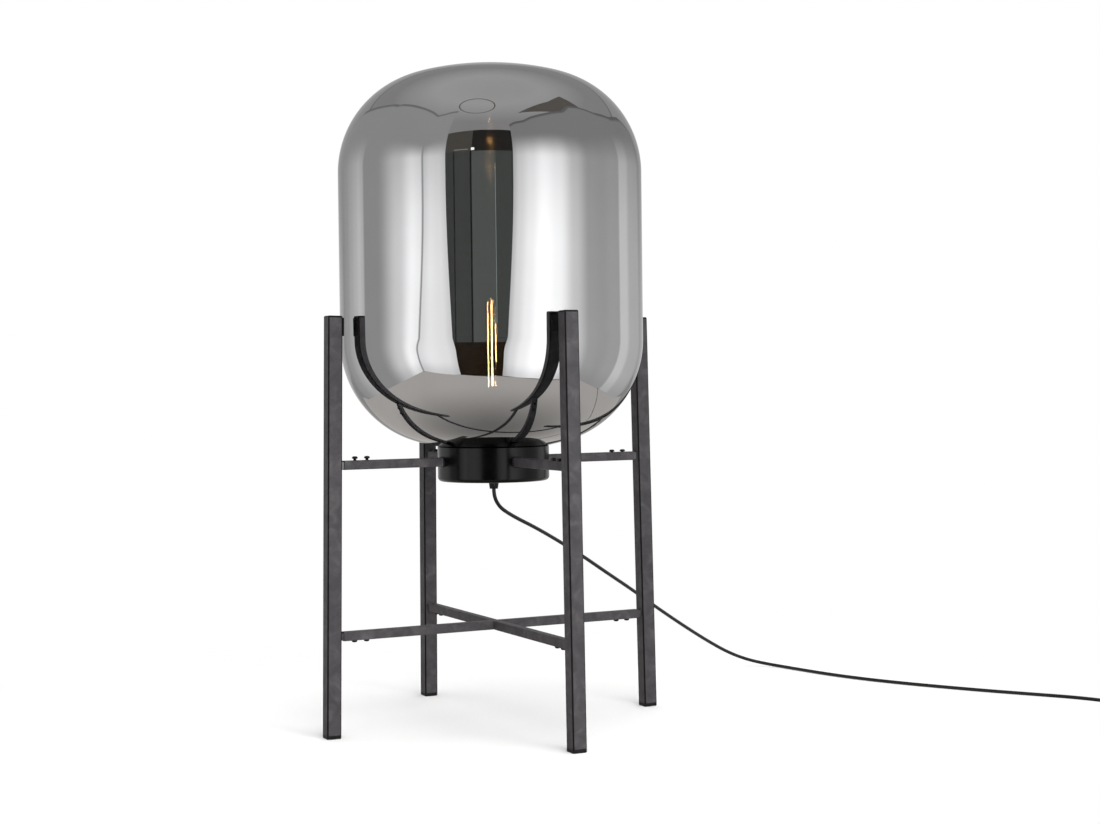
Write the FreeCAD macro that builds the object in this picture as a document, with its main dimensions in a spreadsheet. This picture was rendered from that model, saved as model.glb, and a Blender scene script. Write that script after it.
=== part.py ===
import FreeCAD, Part
import math
import os
import Sketcher

# Globe floor lamp: a smoked glass globe stands in a round cup, which four struts
# hang between four square legs. A cross of bars ties the legs together low down.
# Millimetres, +Z up, origin on the floor under the globe's axis.
# The legs stand on the axes: right +X, back +Y, left -X, front -Y.

os.makedirs("parts", exist_ok=True)
doc = FreeCAD.newDocument("GlobeFloorLamp")
Vector = FreeCAD.Vector
UP = Vector(0, 0, 1)
nearly = 1e-4    # mm, for picking faces and edges by their place

# ---------------------------------------------------------------- sizes

sizeList = [
    # legs and their caps
    ("legHeight", 555, "leg length, caps included"),
    ("legWidth", 20, "square tube across its flats"),
    ("legWall", 1.5, "tube wall"),
    ("legCorner", 2.5, "outer corner radius of the tube"),
    ("legInnerCorner", 1.2, "inner corner radius of the tube"),
    ("legClearance", 15.9, "between the globe and a leg at the height of the struts"),
    ("legSplay", 1, "degrees that each leg leans out towards its foot"),
    ("topCapHeight", 2.5, "domed part of the plastic cap on a leg"),
    ("footCapHeight", 5, "part of the foot cap under the tube"),
    ("capPlugDepth", 12, "how far a cap's plug goes into the tube"),
    ("capPlugWall", 1.4, "wall of the hollow plug"),
    ("capPlugGap", 0.2, "gap between plug and tube"),
    ("capRound", 2, "rounded edge of both caps"),
    ("bumperHeight", 24, "rubber bumper at the top of a leg"),
    ("bumperThickness", 2.4, "rubber bumper"),
    ("bumperWidth", 17, "rubber bumper"),
    ("bumperRound", 1, "rounded edge of the bumper"),
    # struts and cross bars
    ("barSize", 12, "square tube of the struts and cross bars"),
    ("barWall", 1.3, "wall of that tube"),
    ("barCorner", 1.2, "its outer corner radius"),
    ("barInnerCorner", 0.4, "its inner corner radius"),
    ("barGap", 4.5, "gap between a bar's end and its leg"),
    ("strutHeight", 358.3, "centre line of the struts above the floor"),
    ("crossHeight", 133, "centre line of the cross bars above the floor"),
    ("weldGap", 0.05, "between a coped end and what it is welded to"),
    ("tongueSize", 9, "square tongue on the leg that a bar slides over"),
    ("tongueDepth", 42, "how far the tongue goes into the bar"),
    ("screwInset", 16.3, "bar's end to the first screw"),
    ("screwPitch", 17, "between the two screws of a joint"),
    ("screwRadius", 2, "M4 shank"),
    ("screwHole", 2.25, "clearance hole in the bar"),
    ("threadHole", 2.05, "hole in the tongue"),
    ("screwHeadRadius", 3.7, "pan head"),
    ("screwHeadHeight", 2.4, "pan head"),
    ("screwHeadRound", 1.5, "rounded edge of the pan head"),
    # cup
    ("cupRadius", 76.2, "outside of the cup"),
    ("cupHeight", 47, "bottom to rim"),
    ("cupWall", 1.5, "spun steel"),
    ("cupDrop", 27.3, "strut centre line down to the cup's bottom"),
    ("cupRound", 5.5, "outer radius between side and bottom"),
    ("cupRimRound", 0.6, "softened rim"),
    # seat inside the cup
    ("plateDepth", 14.5, "cup's rim down to the seat plate"),
    ("plateThickness", 1.5, "pressed steel"),
    ("plateGap", 0.4, "between seat plate and cup wall"),
    ("plateFlange", 6, "turned-down edge of the seat plate"),
    ("bossRise", 3.5, "raised middle that centres the glass"),
    ("bossGap", 1.5, "between raised middle and glass neck"),
    ("gasketHeight", 3, "silicone ring under the glass"),
    ("gasketWidth", 10, "silicone ring, radially"),
    ("gasketGap", 0.3, "between the ring and the raised middle"),
    ("gasketRound", 0.8, "rounded edge of the ring"),
    ("seatGap", 0.3, "between silicone ring and glass"),
    # glass globe
    ("glassRadius", 206.4, "outside of the globe"),
    ("glassHeight", 529.2, "neck's rim to top"),
    ("glassWall", 2.5, "blown glass"),
    ("crownRadius", 397, "flat crown at the top"),
    ("shoulderRadius", 137, "rounding between crown and side"),
    ("baseCrownRadius", 382, "flat crown at the bottom"),
    ("baseShoulderRadius", 142, "rounding between bottom and side"),
    ("baseRise", 4.2, "neck's rim to the lowest point of the bottom crown"),
    ("neckRadius", 64, "outside of the neck that stands in the cup"),
    ("neckRound", 3, "rounding where the neck leaves the bottom"),
    # threaded tube, nuts and washer
    ("nippleRadius", 4.9, "hollow M10 tube"),
    ("nippleBore", 3.7, "its bore, for the cord"),
    ("nippleHole", 5.2, "clearance hole for the tube"),
    ("threadGap", 0.08, "between the tube and what is screwed on it"),
    ("nippleBelow", 7.5, "tube below the cup's bottom"),
    ("nippleAbove", 10, "tube inside the lamp holder"),
    ("nutFlats", 15, "across flats"),
    ("nutHeight", 4, "jam nut"),
    ("washerRadius", 11, "under the lamp holder"),
    ("washerThickness", 1, "under the lamp holder"),
    # lamp holder
    ("holderHeight", 61.5, "whole lamp holder"),
    ("holderBaseHeight", 24, "lower half, a dome"),
    ("holderRadius", 20.5, "outside"),
    ("holderFootRadius", 13, "flat foot of the dome"),
    ("holderShoulder", 8, "height at which the dome is at its full radius"),
    ("holderWall", 2.2, "moulded wall"),
    ("holderRound", 6, "rounding of the dome"),
    ("coreThickness", 6, "block that carries the contacts"),
    ("coreGap", 0.3, "between block and shell"),
    ("shellRadius", 13.9, "inside of the brass screw shell"),
    ("shellWall", 0.5, "brass screw shell"),
    ("shellHeight", 24, "brass screw shell"),
    ("contactRise", 2, "spring contact above the block"),
    ("contactThickness", 0.5, "its brass strip"),
    ("contactWidth", 5, "its brass strip"),
    ("contactFoot", 8, "axis to the end of its foot"),
    ("contactBend", 4, "axis to the bend where it leaves the block"),
    ("contactSlope", 2, "length of its slope, seen from above"),
    ("contactTip", 6, "axis to its free end"),
    # bulb
    ("bulbHeight", 185, "contact to tip"),
    ("bulbRadius", 15.6, "tube of the bulb"),
    ("bulbNeckRadius", 12.2, "glass inside the cap"),
    ("bulbNeckDepth", 8, "how far the glass goes into the cap"),
    ("bulbShoulder", 9, "slope from the neck to the tube"),
    ("bulbRound", 14.8, "rounded end of the bulb"),
    ("bulbWall", 0.8, "bulb glass"),
    ("bulbCapRadius", 13.2, "E27 cap"),
    ("bulbCapHeight", 22, "E27 cap"),
    ("bulbCapWall", 0.4, "E27 cap"),
    ("bulbInsulator", 4, "black glass under the cap"),
    ("insulatorRadius", 6, "its flat underside"),
    ("insulatorDepth", 1, "how far it goes into the cap"),
    ("bulbContact", 0.7, "solder contact"),
    ("solderTipRadius", 3.2, "solder contact's underside"),
    ("solderRootRadius", 4.6, "solder contact against the black glass"),
    ("bulbGap", 0.3, "between the bulb's contact and the holder's"),
    ("filamentTop", 174, "filament's top above the contact"),
    ("filamentBottom", 91, "filament's foot above the contact"),
    ("filamentRing", 5.4, "radius on which the filament runs up and down"),
    ("filamentWire", 0.35, "radius drawn for the filament"),
    ("stemRadius", 2.2, "glass stem"),
    ("stemGap", 0.3, "between the stem's flare and the black glass"),
    ("stemFlareGap", 1.5, "between the stem's flare and the cap"),
    ("stemTaper", 6, "length in which the stem narrows to its rod"),
    ("stemRodRadius", 0.9, "glass rod inside the filament"),
    ("supportInset", 3, "filament's ends to the outer wire supports"),
    ("supportHubRadius", 1.6, "bead on the rod that holds the support wires"),
    ("supportBoreRadius", 1, "the bead's bore"),
    ("supportHubHeight", 0.8, "bead on the rod"),
    ("supportWire", 0.4, "support wire, width and thickness"),
    # cord
    ("cordRadius", 2.6, "round two-core cord"),
    ("gripLength", 11.5, "cord grip below the cup"),
    ("gripTopRadius", 7.4, "cord grip where it meets the cup"),
    ("gripEndRadius", 5.6, "cord grip where the cord leaves it"),
    ("gripSlot", 0.5, "slot that lets the grip close on the cord"),
    ("gripCollar", 2, "unslotted collar at the grip's top"),
    ("gripSlotAngle", -112, "degrees from +X round to the slot"),
    ("riserAbove", 1.5, "sheath above the threaded tube"),
    ("leadRadius", 0.9, "insulated core"),
    ("leadStart", 1.2, "axis to a core where it leaves the sheath"),
    ("leadSpread", 7, "axis to a core where it meets the contact block"),
    ("leadStraight", 3, "core's straight length out of the sheath"),
    ("leadSlope", 4, "height in which the cores spread"),
    ("cordGap", 0.15, "between cord and bore"),
    ("cordLift", 0.2, "between the lying cord and the floor"),
    ("cordInSwitch", 6, "how far the cord goes into the foot switch at each end"),
    ("coilLead", 52, "from the cord's end in the switch to the coil"),
    ("coilRadius", 33, "outer turn of the coil, to the middle of the cord"),
    ("coilGap", 1.2, "between turns that lie beside each other"),
    ("layerGap", 0.8, "between turns that lie on each other"),
    ("plugLead", 40, "from the coil to the plug"),
    # foot switch on the cord
    ("switchLength", 84, "foot switch"),
    ("switchWidth", 40, "foot switch"),
    ("switchCorner", 15, "corner radius in plan"),
    ("switchBaseHeight", 8, "lower half"),
    ("switchCoverHeight", 13, "upper half"),
    ("switchWall", 2, "moulded wall"),
    ("switchRound", 5, "rounded top edge"),
    ("switchCordHeight", 4.6, "cord centre line in the switch"),
    ("pedalLength", 36, "pedal"),
    ("pedalWidth", 20, "pedal"),
    ("pedalCorner", 9, "pedal's corner radius"),
    ("pedalRise", 4.5, "pedal above the cover"),
    ("pedalRound", 2, "rounded edge of the pedal"),
    ("pedalGap", 0.4, "around the pedal"),
    ("pedalFlange", 2, "lip that keeps the pedal in"),
    ("pedalTravel", 2.5, "how far the pedal goes down"),
    ("pedalLipGap", 0.3, "between that lip and the cover"),
    ("pedalLipReach", 1.6, "lip past the cover's window"),
    ("postInsetX", 12, "switch's end to a screw post"),
    ("postInsetY", 9, "switch's side to a screw post"),
    ("postRadius", 3.6, "screw post"),
    ("postRecess", 4, "how deep a screw head sits in the base"),
    ("postHeadRadius", 2.7, "screw head"),
    ("postHeadHeight", 1.8, "screw head"),
    ("postHeadGap", 0.2, "around a screw head"),
    ("postShankRadius", 1.4, "screw shank"),
    ("postShankGap", 0.05, "around a screw shank"),
    ("postScrewDepth", 7, "how far a screw goes into the cover"),
    ("moduleLength", 26, "contact block under the pedal"),
    ("moduleWidth", 14, "contact block under the pedal"),
    ("moduleRound", 2, "contact block's upright edges"),
    ("moduleGap", 0.5, "between block and pressed pedal"),
    # plug
    ("plugLength", 38, "body of the flat two-pin plug"),
    ("plugWidth", 35, "plug face"),
    ("plugTail", 13, "plug at the cord"),
    ("plugTaper", 20.9, "length in which the plug widens"),
    ("plugHeight", 14, "plug"),
    ("plugRound", 3, "rounded edges"),
    ("pinRadius", 2, "plug pin"),
    ("pinLength", 19, "plug pin"),
    ("pinSpacing", 18.6, "between the pins"),
    ("pinRoot", 8, "part of a pin inside the body"),
    ("cutThrough", 1, "how far a cutting form runs past a face"),
]

sheet = doc.addObject("Spreadsheet::Sheet", "Sizes")
for row, (alias, number, note) in enumerate(sizeList, start=1):
    sheet.set("A%d" % row, alias)
    sheet.set("B%d" % row, str(number))
    sheet.setAlias("B%d" % row, alias)
    sheet.set("C%d" % row, note)
doc.recompute()


def val(text):
    """The number that an expression on the sheet gives."""
    return float(sheet.evalExpression(str(text)))


# Heights and places that follow from the sizes, as expressions.
cupBottom = "(Sizes.strutHeight - Sizes.cupDrop)"
cupTop = cupBottom + " + Sizes.cupHeight"
cupInner = "(Sizes.cupRadius - Sizes.cupWall)"
plateTop = "(" + cupTop + " - Sizes.plateDepth)"
bossTop = "(" + plateTop + " + Sizes.bossRise)"
bossRadius = "(Sizes.neckRadius - Sizes.glassWall - Sizes.bossGap)"
glassBottom = "(" + plateTop + " + Sizes.gasketHeight + Sizes.seatGap)"
holderBottom = "(" + bossTop + " + Sizes.washerThickness)"
coreBottom = "(" + holderBottom + " + Sizes.holderBaseHeight)"
coreTop = "(" + coreBottom + " + Sizes.coreThickness)"
bulbBottom = "(" + coreTop + " + Sizes.contactRise + Sizes.bulbGap)"
legLean = "tan(Sizes.legSplay) * (Sizes.strutHeight - Sizes.crossHeight)"
legRadius = "(Sizes.glassRadius + Sizes.legClearance + Sizes.legWidth / 2)"
strutEnd = "(" + legRadius + " - Sizes.legWidth / 2 - Sizes.barGap)"
crossEnd = "(" + strutEnd + " + " + legLean + ")"
legFoot = "(" + legRadius + " + tan(Sizes.legSplay) * Sizes.strutHeight)"
gripEnd = "(" + cupBottom + " - Sizes.gripLength)"
legAngles = {"right": 0, "back": 90, "left": 180, "front": 270}

parts = {}


# ---------------------------------------------------------------- helpers

def keep(node, thing):
    """Give a finished sub-part the name of its file."""
    thing.Label = node
    parts[node] = thing
    return thing


def place(thing, x="0", y="0", z="0", turn=0, axis=UP):
    """Put a sub-part where expressions on the sheet say, turned about an axis."""
    base = Vector(val(x), val(y), val(z))
    thing.Placement = FreeCAD.Placement(base, FreeCAD.Rotation(axis, turn))
    for letter, text in zip("xyz", (x, y, z)):
        if text != "0":
            thing.setExpression("Placement.Base." + letter, text)
    return thing


def sketchOn(body, plane, name, height="0"):
    """A sketch on one of the body's own origin planes, raised along its normal."""
    sketch = body.newObject("Sketcher::SketchObject", name)
    origin = [item for item in body.Origin.OriginFeatures if item.Role == plane + "_Plane"]
    sketch.AttachmentSupport = (origin[0], [""])
    sketch.MapMode = "FlatFace"
    if height != "0":
        sketch.setExpression("AttachmentOffset.Base.z", height)
    return sketch


def bindPoint(sketch, line, end, x, y):
    """Tie one end of a line to the sketch's origin by two expressions."""
    for kind, axis, text in (("DistanceX", -2, x), ("DistanceY", -1, y)):
        if text == "0":
            sketch.addConstraint(Sketcher.Constraint("PointOnObject", line, end, axis))
            continue
        number = sketch.addConstraint(Sketcher.Constraint(kind, -1, 1, line, end, val(text)))
        sketch.setExpression("Constraints[%d]" % number, text)


def outline(sketch, corners):
    """A closed outline of straight lines through corners given as expressions."""
    first = sketch.GeometryCount
    points = [Vector(val(x), val(y), 0) for x, y in corners]
    for start, end in zip(points, points[1:] + points[:1]):
        sketch.addGeometry(Part.LineSegment(start, end))
    count = len(corners)
    for step in range(count):
        following = first + (step + 1) % count
        sketch.addConstraint(Sketcher.Constraint("Coincident", first + step, 2, following, 1))
    for step, (x, y) in enumerate(corners):
        bindPoint(sketch, first + step, 1, x, y)


def rectangle(sketch, left, right, low, high):
    outline(sketch, [(left, low), (right, low), (right, high), (left, high)])


def circle(sketch, x, y, radius):
    index = sketch.addGeometry(Part.Circle(Vector(val(x), val(y), 0), UP, val(radius)))
    number = sketch.addConstraint(Sketcher.Constraint("Radius", index, val(radius)))
    sketch.setExpression("Constraints[%d]" % number, radius)
    bindPoint(sketch, index, 3, x, y)


def newBody(name):
    return doc.addObject("PartDesign::Body", name)


def pad(body, sketch, length, midplane=False, down=False):
    feature = body.newObject("PartDesign::Pad", sketch.Name + "Pad")
    feature.Profile = sketch
    feature.setExpression("Length", length)
    feature.Midplane = midplane
    feature.Reversed = down
    doc.recompute()
    return feature


def pocket(body, sketch, length, midplane=False, up=False):
    """Cut away a sketch's area and make sure that something was cut."""
    before = body.Shape.Volume
    feature = body.newObject("PartDesign::Pocket", sketch.Name + "Pocket")
    feature.Profile = sketch
    feature.setExpression("Length", length)
    feature.Midplane = midplane
    feature.Reversed = up
    doc.recompute()
    if not body.Shape.Volume < before - nearly:
        raise ValueError(body.Name + ": the pocket " + sketch.Name + " cuts nothing")
    return feature


def turned(body, corners, name="Profile"):
    """Revolve an outline in the XZ plane about the body's Z axis."""
    sketch = sketchOn(body, "XZ", body.Name + name)
    outline(sketch, corners)
    feature = body.newObject("PartDesign::Revolution", sketch.Name + "Turn")
    feature.Profile = sketch
    feature.ReferenceAxis = (sketch, ["V_Axis"])
    feature.Angle = 360
    doc.recompute()
    return feature


def edgesWhere(shape, test):
    return ["Edge%d" % number for number, edge in enumerate(shape.Edges, start=1) if test(edge)]


def roundEdges(body, radius, test, name):
    """Fillet the edges of the body's present shape that pass a test."""
    base = body.Tip
    names = edgesWhere(body.Shape, test)
    if not names:
        raise ValueError(body.Name + ": no edge to round for " + name)
    feature = body.newObject("PartDesign::Fillet", body.Name + name)
    feature.Base = (base, names)
    feature.setExpression("Radius", radius)
    body.Tip = feature
    doc.recompute()
    if "Invalid" in feature.State:
        raise ValueError(feature.Name + " has failed")
    return feature


def hollowOut(body, wall, isOpenFace, name):
    """Leave a wall of the solid and take one face away."""
    base = body.Tip
    opened = [number for number, face in enumerate(body.Shape.Faces, start=1) if isOpenFace(face.BoundBox)]
    feature = body.newObject("PartDesign::Thickness", body.Name + name)
    feature.Base = (base, ["Face%d" % opened[0]])
    feature.setExpression("Value", wall)
    feature.Reversed = True
    body.Tip = feature
    doc.recompute()
    if "Invalid" in feature.State:
        raise ValueError(feature.Name + " has failed")
    return feature


def isUpright(edge):
    box = edge.BoundBox
    return box.XLength < nearly and box.YLength < nearly


def liesAt(height):
    """A test for edges that lie flat at one height."""
    def test(edge):
        box = edge.BoundBox
        return abs(box.ZMin - height) < nearly and abs(box.ZMax - height) < nearly
    return test


def ringAt(radius, height):
    """A test for a circular edge about the Z axis."""
    def test(edge):
        box = edge.BoundBox
        flat = abs(box.ZMin - height) < nearly and abs(box.ZMax - height) < nearly
        return flat and abs(box.XMax - radius) < nearly
    return test


def compound(name, members):
    group = doc.addObject("Part::Compound", name)
    group.Links = members
    doc.recompute()
    return group


def cutFrom(name, base, tool):
    """One form taken out of another."""
    result = doc.addObject("Part::Cut", name)
    result.Base = base
    result.Tool = tool
    doc.recompute()
    return result


# ---------------------------------------------------------------- legs

def leanOnLeg(thing):
    """Stand a piece made on the leg's own axis on the leaning leg at +X."""
    thing.Placement = FreeCAD.Placement(Vector(val(legFoot), 0, 0),
                                        FreeCAD.Rotation(Vector(0, 1, 0), -val("Sizes.legSplay")))
    thing.setExpression("Placement.Base.x", legFoot)
    return thing


def squareTube(sketch, side, wall):
    half = side + " / 2"
    inner = "(" + half + " - " + wall + ")"
    rectangle(sketch, "-" + half, half, "-" + half, half)
    rectangle(sketch, "-" + inner, inner, "-" + inner, inner)


def roundTubeCorners(body, side, wall, corner, innerCorner, parallel):
    """Round a square tube's four outer and four inner edges."""
    half = val(side) / 2
    inner = half - val(wall)

    def outerEdge(edge):
        middle = edge.CenterOfMass
        across = sorted(abs(value) for value in parallel(middle))
        return isAlong(edge) and across[0] > half - nearly

    def innerEdge(edge):
        middle = edge.CenterOfMass
        across = [abs(value) for value in parallel(middle)]
        return isAlong(edge) and max(across) < inner + nearly and min(across) > inner - nearly

    def isAlong(edge):
        box = edge.BoundBox
        low = parallel(Vector(box.XMin, box.YMin, box.ZMin))
        high = parallel(Vector(box.XMax, box.YMax, box.ZMax))
        return all(abs(a - b) < nearly for a, b in zip(low, high))

    roundEdges(body, corner, outerEdge, "OuterCorners")
    roundEdges(body, innerCorner, innerEdge, "InnerCorners")


def tongue(name, end, height):
    """The square tongue that a bar slides over, with two threaded holes."""
    body = newBody(name)
    sketch = sketchOn(body, "XY", name + "Plan")
    root = end + " + Sizes.barGap + Sizes.legWall / 2"
    tip = end + " - Sizes.tongueDepth"
    rectangle(sketch, tip, root, "-Sizes.tongueSize / 2", "Sizes.tongueSize / 2")
    for number in (0, 1):
        at = end + " - Sizes.screwInset - %d * Sizes.screwPitch" % number
        circle(sketch, at, "0", "Sizes.threadHole")
    pad(body, sketch, "Sizes.tongueSize", midplane=True)
    return place(body, z=height)


def makeLeg(side, angle):
    tube = newBody("Tube" + side.title())
    sketch = sketchOn(tube, "XY", tube.Name + "Plan", "Sizes.footCapHeight")
    squareTube(sketch, "Sizes.legWidth", "Sizes.legWall")
    pad(tube, sketch, "Sizes.legHeight - Sizes.topCapHeight - Sizes.footCapHeight")
    roundTubeCorners(tube, "Sizes.legWidth", "Sizes.legWall", "Sizes.legCorner", "Sizes.legInnerCorner",
                     lambda point: (point.x, point.y))
    leanOnLeg(tube)
    leg = doc.addObject("Part::MultiFuse", "Leg" + side.title())
    leg.Shapes = [tube,
                  tongue("StrutTongue" + side.title(), strutEnd, "Sizes.strutHeight"),
                  tongue("CrossTongue" + side.title(), crossEnd, "Sizes.crossHeight")]
    doc.recompute()
    leg.Placement = FreeCAD.Placement(Vector(), FreeCAD.Rotation(UP, angle))
    keep("leg_" + side, leg)


def makeCap(name, low, high, plugLow, plugHigh, roundAt):
    """A cap with a hollow square plug that goes into the tube."""
    body = newBody(name)
    sketch = sketchOn(body, "XY", name + "Plan", low)
    half = "Sizes.legWidth / 2"
    rectangle(sketch, "-" + half, half, "-" + half, half)
    pad(body, sketch, high + " - " + low)
    roundEdges(body, "Sizes.legCorner", isUpright, "Corners")
    roundEdges(body, "Sizes.capRound", liesAt(val(roundAt)), "Dome")
    plug = sketchOn(body, "XY", name + "Plug", plugLow)
    plugSide = "(Sizes.legWidth - 2 * Sizes.legWall - 2 * Sizes.capPlugGap)"
    squareTube(plug, plugSide, "Sizes.capPlugWall")
    pad(body, plug, plugHigh + " - " + plugLow)
    corner = val(plugSide) / 2

    def isPlugCorner(edge):
        middle = edge.CenterOfMass
        return isUpright(edge) and all(abs(abs(side) - corner) < nearly for side in (middle.x, middle.y))

    roundEdges(body, "Sizes.legInnerCorner", isPlugCorner, "PlugCorners")
    return leanOnLeg(body)


def turnAboutAxis(thing, angle):
    """Swing a finished piece from the leg at +X to another leg."""
    swing = FreeCAD.Placement(Vector(), FreeCAD.Rotation(UP, angle))
    thing.Placement = swing.multiply(thing.Placement)
    return thing


tubeTop = "(Sizes.legHeight - Sizes.topCapHeight)"
footSink = "(0 - Sizes.legWidth * tan(Sizes.legSplay))"
topCaps, footCaps, bumpers = [], [], []
for side, angle in legAngles.items():
    makeLeg(side, angle)

    topCap = makeCap("TopCap" + side.title(), tubeTop, "Sizes.legHeight",
                     tubeTop + " - Sizes.capPlugDepth", tubeTop, "Sizes.legHeight")
    topCap.setExpression("Placement.Base.x", None)
    topCaps.append(turnAboutAxis(topCap, angle))

    # The foot cap leans with its leg, so its underside is cut level with the floor.
    footCap = makeCap("FootCap" + side.title(), footSink, "Sizes.footCapHeight",
                      "Sizes.footCapHeight", "Sizes.footCapHeight + Sizes.capPlugDepth", footSink)
    floor = doc.addObject("Part::Box", "Floor" + side.title())
    floor.setExpression("Length", "4 * Sizes.legWidth")
    floor.setExpression("Width", "4 * Sizes.legWidth")
    floor.setExpression("Height", "Sizes.legWidth")
    place(floor, x=legFoot + " - 2 * Sizes.legWidth", y="-2 * Sizes.legWidth", z="-Sizes.legWidth")
    level = cutFrom("LevelFoot" + side.title(), footCap, floor)
    footCaps.append(turnAboutAxis(level, angle))

    pads = newBody("Bumper" + side.title())
    sketch = sketchOn(pads, "XY", pads.Name + "Plan", tubeTop + " - Sizes.bumperHeight")
    face = "-Sizes.legWidth / 2"
    rectangle(sketch, face + " - Sizes.bumperThickness", face,
              "-Sizes.bumperWidth / 2", "Sizes.bumperWidth / 2")
    pad(pads, sketch, "Sizes.bumperHeight")
    inner = -val("Sizes.legWidth") / 2 - val("Sizes.bumperThickness")
    roundEdges(pads, "Sizes.bumperRound",
               lambda edge: abs(edge.BoundBox.XMax - inner) < nearly, "Soft")
    leanOnLeg(pads)
    pads.setExpression("Placement.Base.x", None)
    bumpers.append(turnAboutAxis(pads, angle))

keep("leg_top_caps", compound("LegTopCaps", topCaps))
keep("foot_caps", compound("FootCaps", footCaps))
keep("bumper_pads", compound("BumperPads", bumpers))


# ---------------------------------------------------------------- struts and cross bars

def makeBar(name, start, end, holes, holesOnTop, coped=False):
    """A square tube along +X with screw holes in one wall."""
    body = newBody(name)
    sketch = sketchOn(body, "YZ", name + "Section", start)
    squareTube(sketch, "Sizes.barSize", "Sizes.barWall")
    pad(body, sketch, end + " - " + start)
    roundTubeCorners(body, "Sizes.barSize", "Sizes.barWall", "Sizes.barCorner", "Sizes.barInnerCorner",
                     lambda point: (point.y, point.z))
    if coped:
        cope = sketchOn(body, "XY", name + "Cope")
        circle(cope, "0", "0", "Sizes.cupRadius + Sizes.weldGap")
        pocket(body, cope, "2 * Sizes.barSize", midplane=True)
    drill = sketchOn(body, "XY", name + "Drill")
    for at in holes:
        circle(drill, at, "0", "Sizes.screwHole")
    pocket(body, drill, "Sizes.barSize", up=holesOnTop)
    return body


def screwPlaces(end, sign=""):
    first = "(" + end + " - Sizes.screwInset)"
    return [sign + first, sign + "(" + first + " - Sizes.screwPitch)"]


for side, angle in legAngles.items():
    strut = makeBar("Strut" + side.title(), "(Sizes.cupRadius - Sizes.barSize)", strutEnd,
                    screwPlaces(strutEnd), True, coped=True)
    place(strut, z="Sizes.strutHeight", turn=angle)
    keep("strut_" + side, strut)

# One cross bar runs through from front to back, and two halves meet its sides.
longBar = makeBar("CrossLong", "-" + crossEnd, crossEnd,
                  screwPlaces(crossEnd) + screwPlaces(crossEnd, "-"), False)
keep("cross_bar_long", place(longBar, z="Sizes.crossHeight", turn=90))
for side in ("left", "right"):
    half = makeBar("CrossHalf" + side.title(), "Sizes.barSize / 2", crossEnd,
                   screwPlaces(crossEnd), False)
    keep("cross_bar_" + side, place(half, z="Sizes.crossHeight", turn=legAngles[side]))


def makeScrew(name):
    """A pan-head screw: its head sits on Z = 0 and its shank goes down."""
    body = newBody(name)
    shank = "-(Sizes.barSize / 2 + Sizes.tongueSize / 2)"
    turned(body, [("0", shank), ("Sizes.screwRadius", shank), ("Sizes.screwRadius", "0"),
                  ("Sizes.screwHeadRadius", "0"), ("Sizes.screwHeadRadius", "Sizes.screwHeadHeight"),
                  ("0", "Sizes.screwHeadHeight")])
    roundEdges(body, "Sizes.screwHeadRound",
               ringAt(val("Sizes.screwHeadRadius"), val("Sizes.screwHeadHeight")), "Head")
    return body


def screwSet(node, end, height, upsideDown):
    """Two screws at each of the four legs."""
    screws = []
    for side, angle in legAngles.items():
        across = {0: ("", None), 90: (None, ""), 180: ("-", None), 270: (None, "-")}[angle]
        for number, at in enumerate(screwPlaces(end)):
            screw = makeScrew("%s%s%d" % (node.title().replace("_", ""), side.title(), number))
            x = across[0] + at if across[0] is not None else "0"
            y = across[1] + at if across[1] is not None else "0"
            turn = 180 if upsideDown else 0
            screws.append(place(screw, x=x, y=y, z=height, turn=turn, axis=Vector(1, 0, 0)))
    keep(node, compound(node.title().replace("_", "") + "Set", screws))


screwSet("strut_screws", strutEnd, "Sizes.strutHeight + Sizes.barSize / 2", False)
screwSet("cross_screws", crossEnd, "Sizes.crossHeight - Sizes.barSize / 2", True)


# ---------------------------------------------------------------- cup and seat

cup = newBody("Cup")
turned(cup, [("Sizes.nippleHole", "0"), ("Sizes.cupRadius", "0"), ("Sizes.cupRadius", "Sizes.cupHeight"),
             (cupInner, "Sizes.cupHeight"), (cupInner, "Sizes.cupWall"),
             ("Sizes.nippleHole", "Sizes.cupWall")])
roundEdges(cup, "Sizes.cupRound", ringAt(val("Sizes.cupRadius"), 0), "Bottom")
roundEdges(cup, "Sizes.cupRound - Sizes.cupWall", ringAt(val(cupInner), val("Sizes.cupWall")), "Inside")
roundEdges(cup, "Sizes.cupRimRound", liesAt(val("Sizes.cupHeight")), "Rim")
keep("cup_shell", place(cup, z=cupBottom))

plate = newBody("SeatPlate")
plateRadius = "(" + cupInner + " - Sizes.plateGap)"
turned(plate, [("Sizes.nippleHole", "Sizes.bossRise"),
               ("Sizes.nippleHole", "Sizes.bossRise - Sizes.plateThickness"),
               (bossRadius + " - Sizes.plateThickness", "Sizes.bossRise - Sizes.plateThickness"),
               (bossRadius + " - Sizes.plateThickness", "-Sizes.plateThickness"),
               (plateRadius + " - Sizes.plateThickness", "-Sizes.plateThickness"),
               (plateRadius + " - Sizes.plateThickness", "-Sizes.plateFlange"),
               (plateRadius, "-Sizes.plateFlange"), (plateRadius, "0"),
               (bossRadius, "0"), (bossRadius, "Sizes.bossRise")])
keep("seat_plate", place(plate, z=plateTop))

gasket = newBody("Gasket")
gasketInner = "(" + bossRadius + " + Sizes.gasketGap)"
turned(gasket, [(gasketInner, "0"), (gasketInner + " + Sizes.gasketWidth", "0"),
                (gasketInner + " + Sizes.gasketWidth", "Sizes.gasketHeight"),
                (gasketInner, "Sizes.gasketHeight")])
roundEdges(gasket, "Sizes.gasketRound", liesAt(val("Sizes.gasketHeight")), "Soft")
keep("glass_gasket", place(gasket, z=plateTop))

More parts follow.
